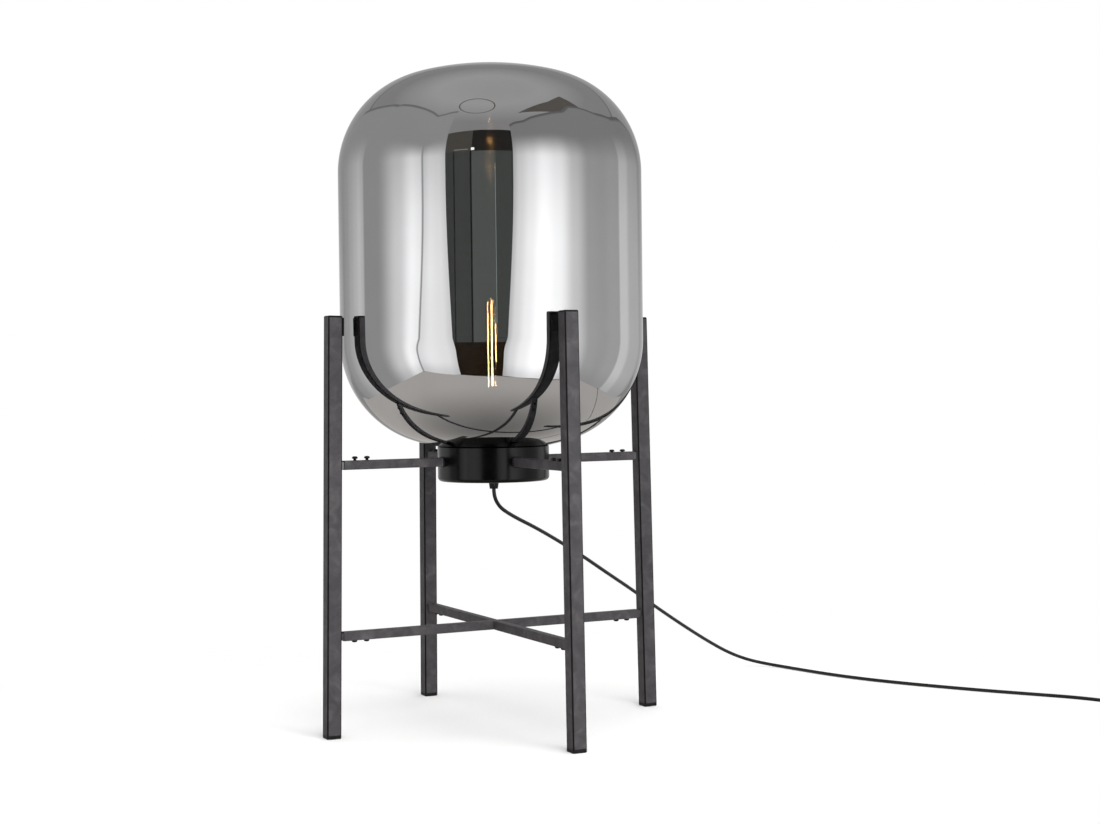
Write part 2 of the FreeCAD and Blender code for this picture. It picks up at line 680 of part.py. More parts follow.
nipple = newBody("Nipple")
nippleLow = "(" + cupBottom + " - Sizes.nippleBelow)"
nippleHigh = "(" + holderBottom + " + Sizes.nippleAbove)"
turned(nipple, [("Sizes.nippleBore", "0"), ("Sizes.nippleRadius", "0"),
                ("Sizes.nippleRadius", nippleHigh + " - " + nippleLow),
                ("Sizes.nippleBore", nippleHigh + " - " + nippleLow)])
keep("threaded_tube", place(nipple, z=nippleLow))


def makeNut(name, height):
    body = newBody(name)
    sketch = sketchOn(body, "XY", name + "Plan")
    corners = []
    for step in range(6):
        reach = "Sizes.nutFlats / 2 / cos(30)"
        corners.append(("%s * cos(%d)" % (reach, 60 * step), "%s * sin(%d)" % (reach, 60 * step)))
    outline(sketch, corners)
    circle(sketch, "0", "0", "Sizes.nippleRadius + Sizes.threadGap")
    pad(body, sketch, "Sizes.nutHeight")
    return place(body, z=height)


lowerNut = makeNut("LowerNut", cupBottom + " + Sizes.cupWall")
upperNut = makeNut("UpperNut", bossTop + " - Sizes.plateThickness - Sizes.nutHeight")
keep("tube_nuts", compound("TubeNuts", [lowerNut, upperNut]))

washer = newBody("Washer")
turned(washer, [("Sizes.nippleHole", "0"), ("Sizes.washerRadius", "0"),
                ("Sizes.washerRadius", "Sizes.washerThickness"),
                ("Sizes.nippleHole", "Sizes.washerThickness")])
keep("holder_washer", place(washer, z=bossTop))


# ---------------------------------------------------------------- glass globe

def makeGlobeForm(name, inset, below):
    """The globe's outer or inner form: flat crowns, wide shoulders and a short open neck."""
    body = newBody(name)
    sketch = sketchOn(body, "XZ", name + "Profile")
    radius = val("Sizes.glassRadius - " + inset)
    neck = val("Sizes.neckRadius - " + inset)
    crown = val("Sizes.crownRadius - " + inset)
    base = val("Sizes.baseCrownRadius - " + inset)
    crownCentre = val("Sizes.glassHeight - Sizes.crownRadius")
    baseCentre = val("Sizes.baseRise + Sizes.baseCrownRadius")
    rimHeight = -val(below)
    topAngle = math.acos(radius / crown)
    lowAngle = math.acos(radius / base)
    neckAngle = math.acos(neck / base)
    wallTop = crownCentre + crown * math.sin(topAngle)
    wallLow = baseCentre - base * math.sin(lowAngle)
    neckTop = baseCentre - base * math.sin(neckAngle)
    crownCircle = Part.Circle(Vector(0, crownCentre, 0), UP, crown)
    baseCircle = Part.Circle(Vector(0, baseCentre, 0), UP, base)
    topArc = sketch.addGeometry(Part.ArcOfCircle(crownCircle, topAngle, math.pi / 2))
    lowArc = sketch.addGeometry(Part.ArcOfCircle(baseCircle, -neckAngle, -lowAngle))
    wall = sketch.addGeometry(Part.LineSegment(Vector(radius, wallLow, 0), Vector(radius, wallTop, 0)))
    side = sketch.addGeometry(Part.LineSegment(Vector(neck, rimHeight, 0), Vector(neck, neckTop, 0)))
    rim = sketch.addGeometry(Part.LineSegment(Vector(0, rimHeight, 0), Vector(neck, rimHeight, 0)))
    axis = sketch.addGeometry(Part.LineSegment(Vector(0, crownCentre + crown, 0), Vector(0, rimHeight, 0)))
    rules = [("Coincident", topArc, 1, wall, 2), ("Coincident", topArc, 2, axis, 1),
             ("Coincident", lowArc, 2, wall, 1), ("Coincident", lowArc, 1, side, 2),
             ("Coincident", side, 1, rim, 2), ("Coincident", rim, 1, axis, 2),
             ("PointOnObject", rim, 1, -2), ("PointOnObject", topArc, 3, -2),
             ("PointOnObject", lowArc, 3, -2), ("Vertical", wall), ("Vertical", side),
             ("Vertical", axis), ("Horizontal", rim)]
    for rule in rules:
        sketch.addConstraint(Sketcher.Constraint(*rule))
    measures = [("DistanceX", (wall, 1), "Sizes.glassRadius - " + inset),
                ("DistanceX", (side, 1), "Sizes.neckRadius - " + inset),
                ("DistanceY", (rim, 1), "0 - " + below),
                ("DistanceY", (topArc, 3), "Sizes.glassHeight - Sizes.crownRadius"),
                ("DistanceY", (lowArc, 3), "Sizes.baseRise + Sizes.baseCrownRadius")]
    for kind, spot, text in measures:
        if text == "0 - 0":
            sketch.addConstraint(Sketcher.Constraint("PointOnObject", *spot, -1))
            continue
        number = sketch.addConstraint(Sketcher.Constraint(kind, -1, 1, *spot, val(text)))
        sketch.setExpression("Constraints[%d]" % number, text)
    for arc, text in ((topArc, "Sizes.crownRadius - "), (lowArc, "Sizes.baseCrownRadius - ")):
        number = sketch.addConstraint(Sketcher.Constraint("Radius", arc, val(text + inset)))
        sketch.setExpression("Constraints[%d]" % number, text + inset)
    solid = body.newObject("PartDesign::Revolution", name + "Turn")
    solid.Profile = sketch
    solid.ReferenceAxis = (sketch, ["V_Axis"])
    solid.Angle = 360
    doc.recompute()
    roundEdges(body, "Sizes.shoulderRadius - " + inset, ringAt(radius, wallTop), "Shoulder")
    roundEdges(body, "Sizes.baseShoulderRadius - " + inset, ringAt(radius, wallLow), "BaseShoulder")
    roundEdges(body, "Sizes.neckRound + " + inset, ringAt(neck, neckTop), "NeckRound")
    return body


globe = cutFrom("Globe", makeGlobeForm("GlobeOutside", "0", "0"),
                makeGlobeForm("GlobeInside", "Sizes.glassWall", "Sizes.glassWall"))
keep("glass_globe", place(globe, z=glassBottom))


# ---------------------------------------------------------------- lamp holder

holderInner = "(Sizes.holderRadius - Sizes.holderWall)"
holderBase = newBody("HolderBase")
turned(holderBase, [("Sizes.nippleRadius + Sizes.threadGap", "0"), ("Sizes.holderFootRadius", "0"),
                    ("Sizes.holderRadius", "Sizes.holderShoulder"),
                    ("Sizes.holderRadius", "Sizes.holderBaseHeight"),
                    (holderInner, "Sizes.holderBaseHeight"),
                    (holderInner, "Sizes.holderShoulder + Sizes.holderWall / 2"),
                    ("Sizes.holderFootRadius - Sizes.holderWall / 2", "Sizes.nippleAbove"),
                    ("Sizes.nippleRadius + Sizes.threadGap", "Sizes.nippleAbove")])
roundEdges(holderBase, "Sizes.holderRound",
           ringAt(val("Sizes.holderRadius"), val("Sizes.holderShoulder")), "Dome")
keep("holder_base", place(holderBase, z=holderBottom))

core = newBody("HolderCore")
coreRadius = "(" + holderInner + " - Sizes.coreGap)"
turned(core, [("0", "0"), (coreRadius, "0"), (coreRadius, "Sizes.coreThickness"),
              ("0", "Sizes.coreThickness")])
keep("holder_core", place(core, z=coreBottom))

skirt = newBody("HolderSkirt")
skirtHeight = "(Sizes.holderHeight - Sizes.holderBaseHeight)"
turned(skirt, [(holderInner, "0"), ("Sizes.holderRadius", "0"), ("Sizes.holderRadius", skirtHeight),
               ("Sizes.shellRadius + Sizes.shellWall + Sizes.coreGap", skirtHeight),
               ("Sizes.shellRadius + Sizes.shellWall + Sizes.coreGap", skirtHeight + " - Sizes.holderWall"),
               (holderInner, skirtHeight + " - Sizes.holderWall")])
roundEdges(skirt, "Sizes.holderWall / 2", ringAt(val("Sizes.holderRadius"), val(skirtHeight)), "Lip")
keep("holder_skirt", place(skirt, z=coreBottom))

shell = newBody("ScrewShell")
turned(shell, [("Sizes.shellRadius", "0"), ("Sizes.shellRadius + Sizes.shellWall", "0"),
               ("Sizes.shellRadius + Sizes.shellWall", "Sizes.shellHeight"),
               ("Sizes.shellRadius", "Sizes.shellHeight")])
keep("screw_shell", place(shell, z=coreTop))

contact = newBody("CentreContact")
strip = sketchOn(contact, "XZ", "ContactStrip")
slopeTop = "-(Sizes.contactBend - Sizes.contactSlope"
contactUnder = "Sizes.contactRise - Sizes.contactThickness"
outline(strip, [("-Sizes.contactFoot", "0"), ("-Sizes.contactBend", "0"), (slopeTop + ")", contactUnder),
                ("Sizes.contactTip", contactUnder), ("Sizes.contactTip", "Sizes.contactRise"),
                (slopeTop + " + Sizes.contactThickness / 2)", "Sizes.contactRise"),
                ("-(Sizes.contactBend + Sizes.contactThickness / 2)", "Sizes.contactThickness"),
                ("-Sizes.contactFoot", "Sizes.contactThickness")])
pad(contact, strip, "Sizes.contactWidth", midplane=True)
keep("centre_contact", place(contact, z=coreTop))


# ---------------------------------------------------------------- bulb

bulbCap = newBody("BulbCap")
capLow = "Sizes.bulbInsulator"
capHigh = "(Sizes.bulbInsulator + Sizes.bulbCapHeight)"
capInner = "(Sizes.bulbCapRadius - Sizes.bulbCapWall)"
turned(bulbCap, [(capInner, capLow), ("Sizes.bulbCapRadius", capLow), ("Sizes.bulbCapRadius", capHigh),
                 (capInner, capHigh)])
keep("bulb_cap", place(bulbCap, z=bulbBottom))

insulator = newBody("BulbInsulator")
insulatorTop = capLow + " + Sizes.insulatorDepth"
turned(insulator, [("0", "Sizes.bulbContact"), ("Sizes.insulatorRadius", "Sizes.bulbContact"),
                   (capInner, capLow), (capInner, insulatorTop), ("0", insulatorTop)])
keep("bulb_insulator", place(insulator, z=bulbBottom))

bulbTip = newBody("BulbTip")
turned(bulbTip, [("0", "0"), ("Sizes.solderTipRadius", "0"), ("Sizes.solderRootRadius", "Sizes.bulbContact"),
                 ("0", "Sizes.bulbContact")])
keep("bulb_contact", place(bulbTip, z=bulbBottom))


def makeBulbForm(name, inset, below):
    """The bulb's outer or inner form: a neck in the cap, a sloped shoulder and a round end."""
    body = newBody(name)
    neckLow = capHigh + " - Sizes.bulbNeckDepth - " + below
    neckRadius = "Sizes.bulbNeckRadius - " + inset
    tubeRadius = "Sizes.bulbRadius - " + inset
    top = "Sizes.bulbHeight - " + inset
    shoulderHigh = capHigh + " + Sizes.bulbShoulder"
    turned(body, [("0", neckLow), (neckRadius, neckLow), (neckRadius, capHigh),
                  (tubeRadius, shoulderHigh), (tubeRadius, top), ("0", top)])
    roundEdges(body, "Sizes.bulbRound - " + inset, ringAt(val(tubeRadius), val(top)), "End")
    return body


bulbGlass = cutFrom("BulbGlass", makeBulbForm("BulbOutside", "0", "0"),
                    makeBulbForm("BulbInside", "Sizes.bulbWall", "Sizes.bulbWall"))
keep("bulb_glass", place(bulbGlass, z=bulbBottom))

stem = newBody("BulbStem")
stemLow = "(" + insulatorTop + " + Sizes.stemGap)"
turned(stem, [("0", stemLow), (capInner + " - Sizes.stemFlareGap", stemLow), ("Sizes.stemRadius", capHigh),
              ("Sizes.stemRadius", "Sizes.filamentBottom - Sizes.stemTaper"),
              ("Sizes.stemRodRadius", "Sizes.filamentBottom"), ("Sizes.stemRodRadius", "Sizes.filamentTop"),
              ("0", "Sizes.filamentTop")])
keep("bulb_stem", place(stem, z=bulbBottom))


# ---------------------------------------------------------------- tubes along a path

def arcBetween(start, corner, end):
    """The arc that leaves start and reaches end along the two lines to the corner."""
    middle = (start + end) * 0.5
    toCorner = corner - middle
    half = (end - start).Length / 2
    slope = math.atan2(toCorner.Length, half)
    rise = half * math.tan(slope / 2)
    return Part.Arc(start, middle + toCorner.normalize() * rise, end).toShape()


arcShare = 0.45    # of the shorter run at a corner, which its arc takes


def roundedPath(points, name=None, diameter=1.0):
    """Straight runs joined by arcs, each as large as its share of the shorter run allows."""
    edges = []
    last = points[0]
    for before, corner, after in zip(points, points[1:], points[2:]):
        shorter = min((corner - before).Length, (after - corner).Length)
        inward = (before - corner).normalize()
        outward = (after - corner).normalize()
        start = corner + inward * (arcShare * shorter)
        end = corner + outward * (arcShare * shorter)
        turn = math.pi - inward.getAngle(outward)
        if name:
            radius = arcShare * shorter / math.tan(turn / 2)
            print("%s: turn %.1f degrees, radius %.1f mm, %.1f diameters"
                  % (name, math.degrees(turn), radius, radius / diameter))
        edges.append(Part.LineSegment(last, start).toShape())
        edges.append(arcBetween(start, corner, end))
        last = end
    edges.append(Part.LineSegment(last, points[-1]).toShape())
    return edges


def biarc(start, startDirection, end, endDirection):
    """Two arcs that join two points and two directions, with equal tangents."""
    across = end - start
    both = startDirection + endDirection
    square = 4 - both.dot(both)
    along = across.dot(both)
    if square < 1e-9:
        reach = across.dot(across) / (2 * along)
    else:
        reach = (math.sqrt(along * along + square * across.dot(across)) - along) / square
    first = start + startDirection * reach
    second = end - endDirection * reach
    joint = (first + second) * 0.5
    return [arcBetween(start, first, joint), arcBetween(joint, second, end)]


def tube(name, edges, radius):
    """A round solid along a path, as an object whose shape is set here."""
    path = Part.Wire(edges)
    start = edges[0].valueAt(edges[0].FirstParameter)
    direction = edges[0].tangentAt(edges[0].FirstParameter)
    section = Part.Wire([Part.Circle(start, direction, radius).toShape()])
    solid = path.makePipeShell([section], True, False)
    expected = math.pi * radius ** 2 * path.Length
    print("%s: length %.1f mm, volume %.4f of section times length"
          % (name, path.Length, solid.Volume / expected))
    feature = doc.addObject("Part::Feature", name)
    feature.Shape = solid
    return feature


# The filament runs up and down round the stem in four hairpins.
filamentPoints = []
filamentRuns = 8
ring = val("Sizes.filamentRing")
for step in range(filamentRuns):
    turn = 2 * math.pi * step / filamentRuns
    spot = Vector(ring * math.cos(turn), ring * math.sin(turn), 0)
    low = spot + UP * val("Sizes.filamentBottom")
    high = spot + UP * val("Sizes.filamentTop")
    filamentPoints += [low, high] if step % 2 == 0 else [high, low]
filament = tube("Filament", roundedPath(filamentPoints), val("Sizes.filamentWire"))
keep("bulb_filament", place(filament, z=bulbBottom))

supports = []
supportHeights = ["Sizes.filamentBottom + Sizes.supportInset",
                  "(Sizes.filamentBottom + Sizes.filamentTop) / 2",
                  "Sizes.filamentTop - Sizes.supportInset"]
for number, height in enumerate(supportHeights):
    spider = newBody("Support%d" % number)
    hub = sketchOn(spider, "XY", spider.Name + "Hub")
    circle(hub, "0", "0", "Sizes.supportHubRadius")
    circle(hub, "0", "0", "Sizes.supportBoreRadius")
    pad(spider, hub, "Sizes.supportHubHeight", midplane=True)
    arms = sketchOn(spider, "XY", spider.Name + "Arms")
    for quarter in range(4):
        cosine, sine = [(1, 0), (0, 1), (-1, 0), (0, -1)][quarter]
        root = "(Sizes.supportHubRadius - Sizes.supportWire / 2)"
        reach = "(Sizes.filamentRing - Sizes.filamentWire)"
        side = "Sizes.supportWire / 2"
        corners = [(root, "-" + side), (reach, "-" + side), (reach, side), (root, side)]
        outline(arms, [("(%s) * %d - (%s) * %d" % (x, cosine, y, sine),
                        "(%s) * %d + (%s) * %d" % (x, sine, y, cosine)) for x, y in corners])
    pad(spider, arms, "Sizes.supportWire", midplane=True)
    supports.append(place(spider, z=bulbBottom + " + " + height))
keep("filament_supports", compound("FilamentSupports", supports))


# ---------------------------------------------------------------- cord

cordRadius = val("Sizes.cordRadius")

# The cord drops from the grip, sags back to the floor and runs on to the foot switch.
cordRoute = [
    (0, 0, 319.5), (0, 0, 302.2), (7, 3.5, 286.7), (23, 12, 276.5), (60, 30, 266), (115, 58, 245),
    (175, 87, 216), (236, 114, 181), (296, 141, 147), (355, 166, 112), (413, 188, 79), (466, 207, 50),
    (513, 220, 26), (551, 221, 11), (577, 203, 4.5), (590, 174, 2.8), (597, 134, 2.8), (608, 80, 2.8),
    (627, 18, 2.8), (654, -44, 2.8), (686, -104, 2.8), (721, -164, 2.8), (757, -224, 3.4),
    (790, -286, 4.6), (812, -352, 4.6),
]
cordPoints = [Vector(*point) for point in cordRoute]
cordPoints[0].z = val(gripEnd)
cordPoints[-2].z = cordPoints[-1].z = val("Sizes.switchCordHeight")
cordRun = tube("CordRun", roundedPath(cordPoints, "cord", 2 * cordRadius), cordRadius)
keep("cord_run", cordRun)

# Beyond the switch the spare length is wound in two layers that spiral in and out.
cordFloor = cordRadius + val("Sizes.cordLift")
lastRun = cordPoints[-1] - cordPoints[-2]
heading = Vector(lastRun.x, lastRun.y, 0).normalize()
leftward = Vector(-heading.y, heading.x, 0)
toSwitchMiddle = val("Sizes.switchLength / 2 - Sizes.cordInSwitch")
switchCentre = cordPoints[-1] + heading * toSwitchMiddle
switchAngle = math.degrees(math.atan2(heading.y, heading.x))
tailStart = switchCentre + heading * toSwitchMiddle
coilStart = tailStart + heading * val("Sizes.coilLead")
coilStart.z = cordFloor
coilRadius = val("Sizes.coilRadius")
coilPitch = 2 * cordRadius + val("Sizes.coilGap")
coilLayer = 2 * cordRadius + val("Sizes.layerGap")
coilTurnsIn = 1.5
coilTurnsClimb = 0.5
coilTurnsOut = 1.5
coilCentre = coilStart + leftward * coilRadius
coilAngle = math.atan2(-leftward.y, -leftward.x)


def coilPoint(turns):
    """The coil's centre line: in along the floor, up one layer, and out again."""
    climb = min(max(turns - coilTurnsIn, 0), coilTurnsClimb)
    outward = max(turns - coilTurnsIn - coilTurnsClimb, 0)
    radius = coilRadius - coilPitch * (min(turns, coilTurnsIn) - outward)
    angle = coilAngle + 2 * math.pi * turns
    height = cordFloor + coilLayer * climb / coilTurnsClimb
    return Vector(coilCentre.x + radius * math.cos(angle), coilCentre.y + radius * math.sin(angle), height)


def coilDirection(turns):
    step = 0.02
    return (coilPoint(turns + step) - coilPoint(turns - step)).normalize()


coilTurns = coilTurnsIn + coilTurnsClimb + coilTurnsOut
quarters = int(4 * coilTurns)
plugTail = coilPoint(coilTurns) - heading * val("Sizes.plugLead")
plugTail.z = val("Sizes.plugHeight") / 2
stops = [(tailStart + heading * (2 * cordRadius), heading), (coilStart, heading)]
stops += [(coilPoint(quarter / 4), coilDirection(quarter / 4)) for quarter in range(1, quarters + 1)]
stops.append((plugTail + heading * (2 * cordRadius), heading * -1))
coilEdges = [Part.LineSegment(tailStart, stops[0][0]).toShape()]
for (start, startDirection), (end, endDirection) in zip(stops, stops[1:]):
    coilEdges += biarc(start, startDirection, end, endDirection)
coilEdges.append(Part.LineSegment(stops[-1][0], plugTail).toShape())
keep("cord_coil", tube("CordCoil", coilEdges, cordRadius))

# The least gap between stretches of the coil that are more than half a turn apart.
coilSteps = 36
coilSamples = [coilPoint(step / coilSteps) for step in range(int(coilSteps * quarters / 4) + 1)]
leastGap = min((first - second).Length for number, first in enumerate(coilSamples)
               for second in coilSamples[number + coilSteps // 2:]) - 2 * cordRadius
print("coil: least gap to itself %.2f mm, %.0f mm across its middle turn"
      % (leastGap, 2 * coilRadius - coilPitch * coilTurnsIn))

# The piece of the cord that the lamp holds, up through the threaded tube.
riser = newBody("CordRiser")
riserTop = "(" + nippleHigh + " + Sizes.riserAbove)"
turned(riser, [("0", "0"), ("Sizes.cordRadius", "0"), ("Sizes.cordRadius", riserTop + " - " + gripEnd),
               ("0", riserTop + " - " + gripEnd)])
keep("cord_riser", place(riser, z=gripEnd))

leads = []
for number, sideways in enumerate((1, -1)):
    near = Vector(sideways * val("Sizes.leadStart"), 0, val(riserTop))
    far = Vector(sideways * val("Sizes.leadSpread"), 0, val(coreBottom))
    straight = near + UP * val("Sizes.leadStraight")
    spread = Vector(far.x, 0, straight.z + val("Sizes.leadSlope"))
    path = roundedPath([near, straight, spread, far])
    leads.append(tube("Lead%d" % number, path, val("Sizes.leadRadius")))
keep("lead_wires", compound("LeadWires", leads))

# A tapered grip under the cup, slotted so that it closes on the cord.
grip = newBody("CordGrip")
gripBore = "(Sizes.cordRadius + Sizes.cordGap)"
gripShelf = "(Sizes.gripLength - Sizes.nippleBelow)"
gripSeat = "(Sizes.nippleRadius + Sizes.threadGap)"
turned(grip, [(gripBore, "0"), ("Sizes.gripEndRadius", "0"), ("Sizes.gripTopRadius", "Sizes.gripLength"),
              (gripSeat, "Sizes.gripLength"), (gripSeat, gripShelf), (gripBore, gripShelf)])
slot = sketchOn(grip, "XY", "GripSlot")
rectangle(slot, "0", "Sizes.gripTopRadius", "-Sizes.gripSlot / 2", "Sizes.gripSlot / 2")
pocket(grip, slot, "Sizes.gripLength - Sizes.gripCollar", up=True)
keep("cord_grip", place(grip, z=gripEnd, turn=val("Sizes.gripSlotAngle")))


# ---------------------------------------------------------------- foot switch

def roundedBlock(name, length, width, corner, low, high):
    body = newBody(name)
    sketch = sketchOn(body, "XY", name + "Plan", low)
    rectangle(sketch, "-%s / 2" % length, "%s / 2" % length, "-%s / 2" % width, "%s / 2" % width)
    pad(body, sketch, high + " - " + low)
    roundEdges(body, corner, isUpright, "Corners")
    return body


def placeOnCord(thing, spot, angle):
    thing.Placement = FreeCAD.Placement(Vector(spot.x, spot.y, 0), FreeCAD.Rotation(UP, angle))
    return thing


split = "Sizes.switchBaseHeight"
coverTop = "(Sizes.switchBaseHeight + Sizes.switchCoverHeight)"
lipTop = "(" + coverTop + " - Sizes.switchWall - Sizes.pedalLipGap)"
lipLow = "(" + lipTop + " - Sizes.pedalFlange)"

tray = roundedBlock("SwitchTray", "Sizes.switchLength", "Sizes.switchWidth", "Sizes.switchCorner",
                    "0", split)
hollowOut(tray, "Sizes.switchWall", lambda box: box.ZMin > val(split) - nearly, "Hollow")
entry = sketchOn(tray, "YZ", "CordEntry")
circle(entry, "0", "Sizes.switchCordHeight", gripBore)
pocket(tray, entry, "Sizes.switchLength + 2 * Sizes.cutThrough", midplane=True)
postX = "(Sizes.switchLength / 2 - Sizes.postInsetX)"
postY = "(Sizes.switchWidth / 2 - Sizes.postInsetY)"
postPlaces = [(signX + postX, signY + postY) for signX in ("", "-") for signY in ("", "-")]


def atPosts(body, name, radius, height="0"):
    """A sketch with one circle at each of the switch's four screws."""
    sketch = sketchOn(body, "XY", name, height)
    for x, y in postPlaces:
        circle(sketch, x, y, radius)
    return sketch


shankHole = "Sizes.postShankRadius + Sizes.postShankGap"
pad(tray, atPosts(tray, "BasePosts", "Sizes.postRadius", "Sizes.switchWall / 2"),
    split + " - Sizes.switchWall / 2")
pocket(tray, atPosts(tray, "BaseHoles", shankHole), split, up=True)
pocket(tray, atPosts(tray, "HeadRecesses", "Sizes.postHeadRadius + Sizes.postHeadGap"),
       "Sizes.postRecess", up=True)
keep("switch_base", placeOnCord(tray, switchCentre, switchAngle))

cover = roundedBlock("SwitchCover", "Sizes.switchLength", "Sizes.switchWidth", "Sizes.switchCorner",
                     split, coverTop)
roundEdges(cover, "Sizes.switchRound", liesAt(val(coverTop)), "Top")
hollowOut(cover, "Sizes.switchWall", lambda box: box.ZMax < val(split) + nearly, "Hollow")
window = sketchOn(cover, "XY", "PedalWindow", lipTop)
windowLength = "(Sizes.pedalLength / 2 + Sizes.pedalGap)"
windowWidth = "(Sizes.pedalWidth / 2 + Sizes.pedalGap)"
rectangle(window, "-" + windowLength, windowLength, "-" + windowWidth, windowWidth)
pocket(cover, window, "Sizes.switchWall + 2 * Sizes.cutThrough", up=True)
roundEdges(cover, "Sizes.pedalCorner + Sizes.pedalGap",
           lambda edge: isUpright(edge) and abs(edge.BoundBox.XMax) < val(windowLength) + nearly, "Window")
pad(cover, atPosts(cover, "CoverPosts", "Sizes.postRadius", split),
    "Sizes.switchCoverHeight - Sizes.switchWall / 2")
pocket(cover, atPosts(cover, "CoverHoles", shankHole, split),
       "Sizes.postScrewDepth + Sizes.cutThrough", up=True)
keep("switch_cover", placeOnCord(cover, switchCentre, switchAngle))

screws = []
for number, (x, y) in enumerate(postPlaces):
    screw = newBody("SwitchScrew%d" % number)
    tip = split + " - Sizes.postRecess + Sizes.postHeadHeight + Sizes.postScrewDepth"
    turned(screw, [("0", "0"), ("Sizes.postHeadRadius", "0"),
                   ("Sizes.postHeadRadius", "Sizes.postHeadHeight"),
                   ("Sizes.postShankRadius", "Sizes.postHeadHeight"),
                   ("Sizes.postShankRadius", tip), ("0", tip)])
    roundEdges(screw, "Sizes.postHeadHeight / 2", ringAt(val("Sizes.postHeadRadius"), 0), "Head")
    screws.append(place(screw, x=x, y=y, z="Sizes.postRecess - Sizes.postHeadHeight"))
switchScrews = compound("SwitchScrews", screws)
keep("switch_screws", placeOnCord(switchScrews, switchCentre, switchAngle))

pedal = roundedBlock("SwitchPedal", "Sizes.pedalLength", "Sizes.pedalWidth", "Sizes.pedalCorner",
                     lipLow, "(" + coverTop + " + Sizes.pedalRise)")
roundEdges(pedal, "Sizes.pedalRound", liesAt(val(coverTop + " + Sizes.pedalRise")), "Top")
lip = sketchOn(pedal, "XY", "PedalLip", lipLow)
lipLength = "(" + windowLength + " + Sizes.pedalLipReach)"
lipWidth = "(" + windowWidth + " + Sizes.pedalLipReach)"
rectangle(lip, "-" + lipLength, lipLength, "-" + lipWidth, lipWidth)
pad(pedal, lip, "Sizes.pedalFlange")
keep("switch_pedal", placeOnCord(pedal, switchCentre, switchAngle))

module = roundedBlock("SwitchModule", "Sizes.moduleLength", "Sizes.moduleWidth", "Sizes.moduleRound",
                      "Sizes.switchWall", "(" + lipLow + " - Sizes.pedalTravel - Sizes.moduleGap)")
keep("switch_module", placeOnCord(module, switchCentre, switchAngle))


# ---------------------------------------------------------------- plug

plug = newBody("PlugBody")
plan = sketchOn(plug, "XY", "PlugPlan")
outline(plan, [("0", "-Sizes.plugTail / 2"), ("Sizes.plugTaper", "-Sizes.plugWidth / 2"),
               ("Sizes.plugLength", "-Sizes.plugWidth / 2"), ("Sizes.plugLength", "Sizes.plugWidth / 2"),
               ("Sizes.plugTaper", "Sizes.plugWidth / 2"), ("0", "Sizes.plugTail / 2")])
pad(plug, plan, "Sizes.plugHeight", midplane=True)
roundEdges(plug, "Sizes.plugRound", isUpright, "Corners")
plugHalf = val("Sizes.plugHeight / 2")
roundEdges(plug, "Sizes.plugRound", lambda edge: liesAt(plugHalf)(edge) or liesAt(-plugHalf)(edge), "Faces")
sockets = sketchOn(plug, "YZ", "PinSockets", "Sizes.plugLength - Sizes.pinRoot")
for sign in ("", "-"):
    circle(sockets, sign + "Sizes.pinSpacing / 2", "0", "Sizes.pinRadius + Sizes.weldGap")
pocket(plug, sockets, "Sizes.pinRoot + Sizes.cutThrough", up=True)

pins = []
for number, sign in enumerate(("", "-")):
    pin = newBody("Pin%d" % number)
    section = sketchOn(pin, "YZ", "PinSection%d" % number, "Sizes.plugLength - Sizes.pinRoot")
    circle(section, sign + "Sizes.pinSpacing / 2", "0", "Sizes.pinRadius")
    pad(pin, section, "Sizes.pinRoot + Sizes.pinLength")
    tip = val("Sizes.plugLength + Sizes.pinLength")
    roundEdges(pin, "Sizes.pinRadius / 2", lambda edge: edge.BoundBox.XMin > tip - nearly, "Tip")
    pins.append(pin)
plugPlace = FreeCAD.Placement(plugTail, FreeCAD.Rotation(UP, switchAngle + 180))
plug.Placement = plugPlace
for pin in pins:
    pin.Placement = plugPlace
keep("plug_body", plug)
keep("plug_pins", compound("PlugPins", pins))


# ---------------------------------------------------------------- check and write

doc.recompute()
for item in doc.Objects:
    for state in item.State:
        if state in ("Invalid", "Error"):
            raise ValueError(item.Name + " is " + state)
for node, thing in parts.items():
    if thing.Shape.isNull() or not thing.Shape.isValid():
        raise ValueError(node + " has no valid shape")
for node, thing in parts.items():
    thing.Shape.exportStep("parts/" + node + ".step")
print(len(parts), "parts,", sum(len(thing.Shape.Solids) for thing in parts.values()), "solids")
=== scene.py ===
import bpy
import bmesh
import math
from mathutils import Matrix, Vector


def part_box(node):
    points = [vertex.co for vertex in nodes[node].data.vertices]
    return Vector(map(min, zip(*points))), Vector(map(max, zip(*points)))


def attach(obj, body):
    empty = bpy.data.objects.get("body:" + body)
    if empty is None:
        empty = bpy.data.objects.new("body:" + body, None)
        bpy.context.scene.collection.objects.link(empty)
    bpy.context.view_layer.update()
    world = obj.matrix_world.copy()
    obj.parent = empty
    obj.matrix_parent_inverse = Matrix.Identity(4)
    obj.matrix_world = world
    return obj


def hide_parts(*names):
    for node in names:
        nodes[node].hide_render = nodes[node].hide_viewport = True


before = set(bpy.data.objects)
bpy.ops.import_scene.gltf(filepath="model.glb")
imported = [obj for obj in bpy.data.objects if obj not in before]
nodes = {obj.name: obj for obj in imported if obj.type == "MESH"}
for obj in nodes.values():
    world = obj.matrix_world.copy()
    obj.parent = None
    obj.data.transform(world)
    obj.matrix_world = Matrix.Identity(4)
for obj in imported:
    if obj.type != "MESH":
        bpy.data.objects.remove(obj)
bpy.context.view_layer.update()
scene = bpy.context.scene

# Lengths are in metres unless a name ends in Mm.

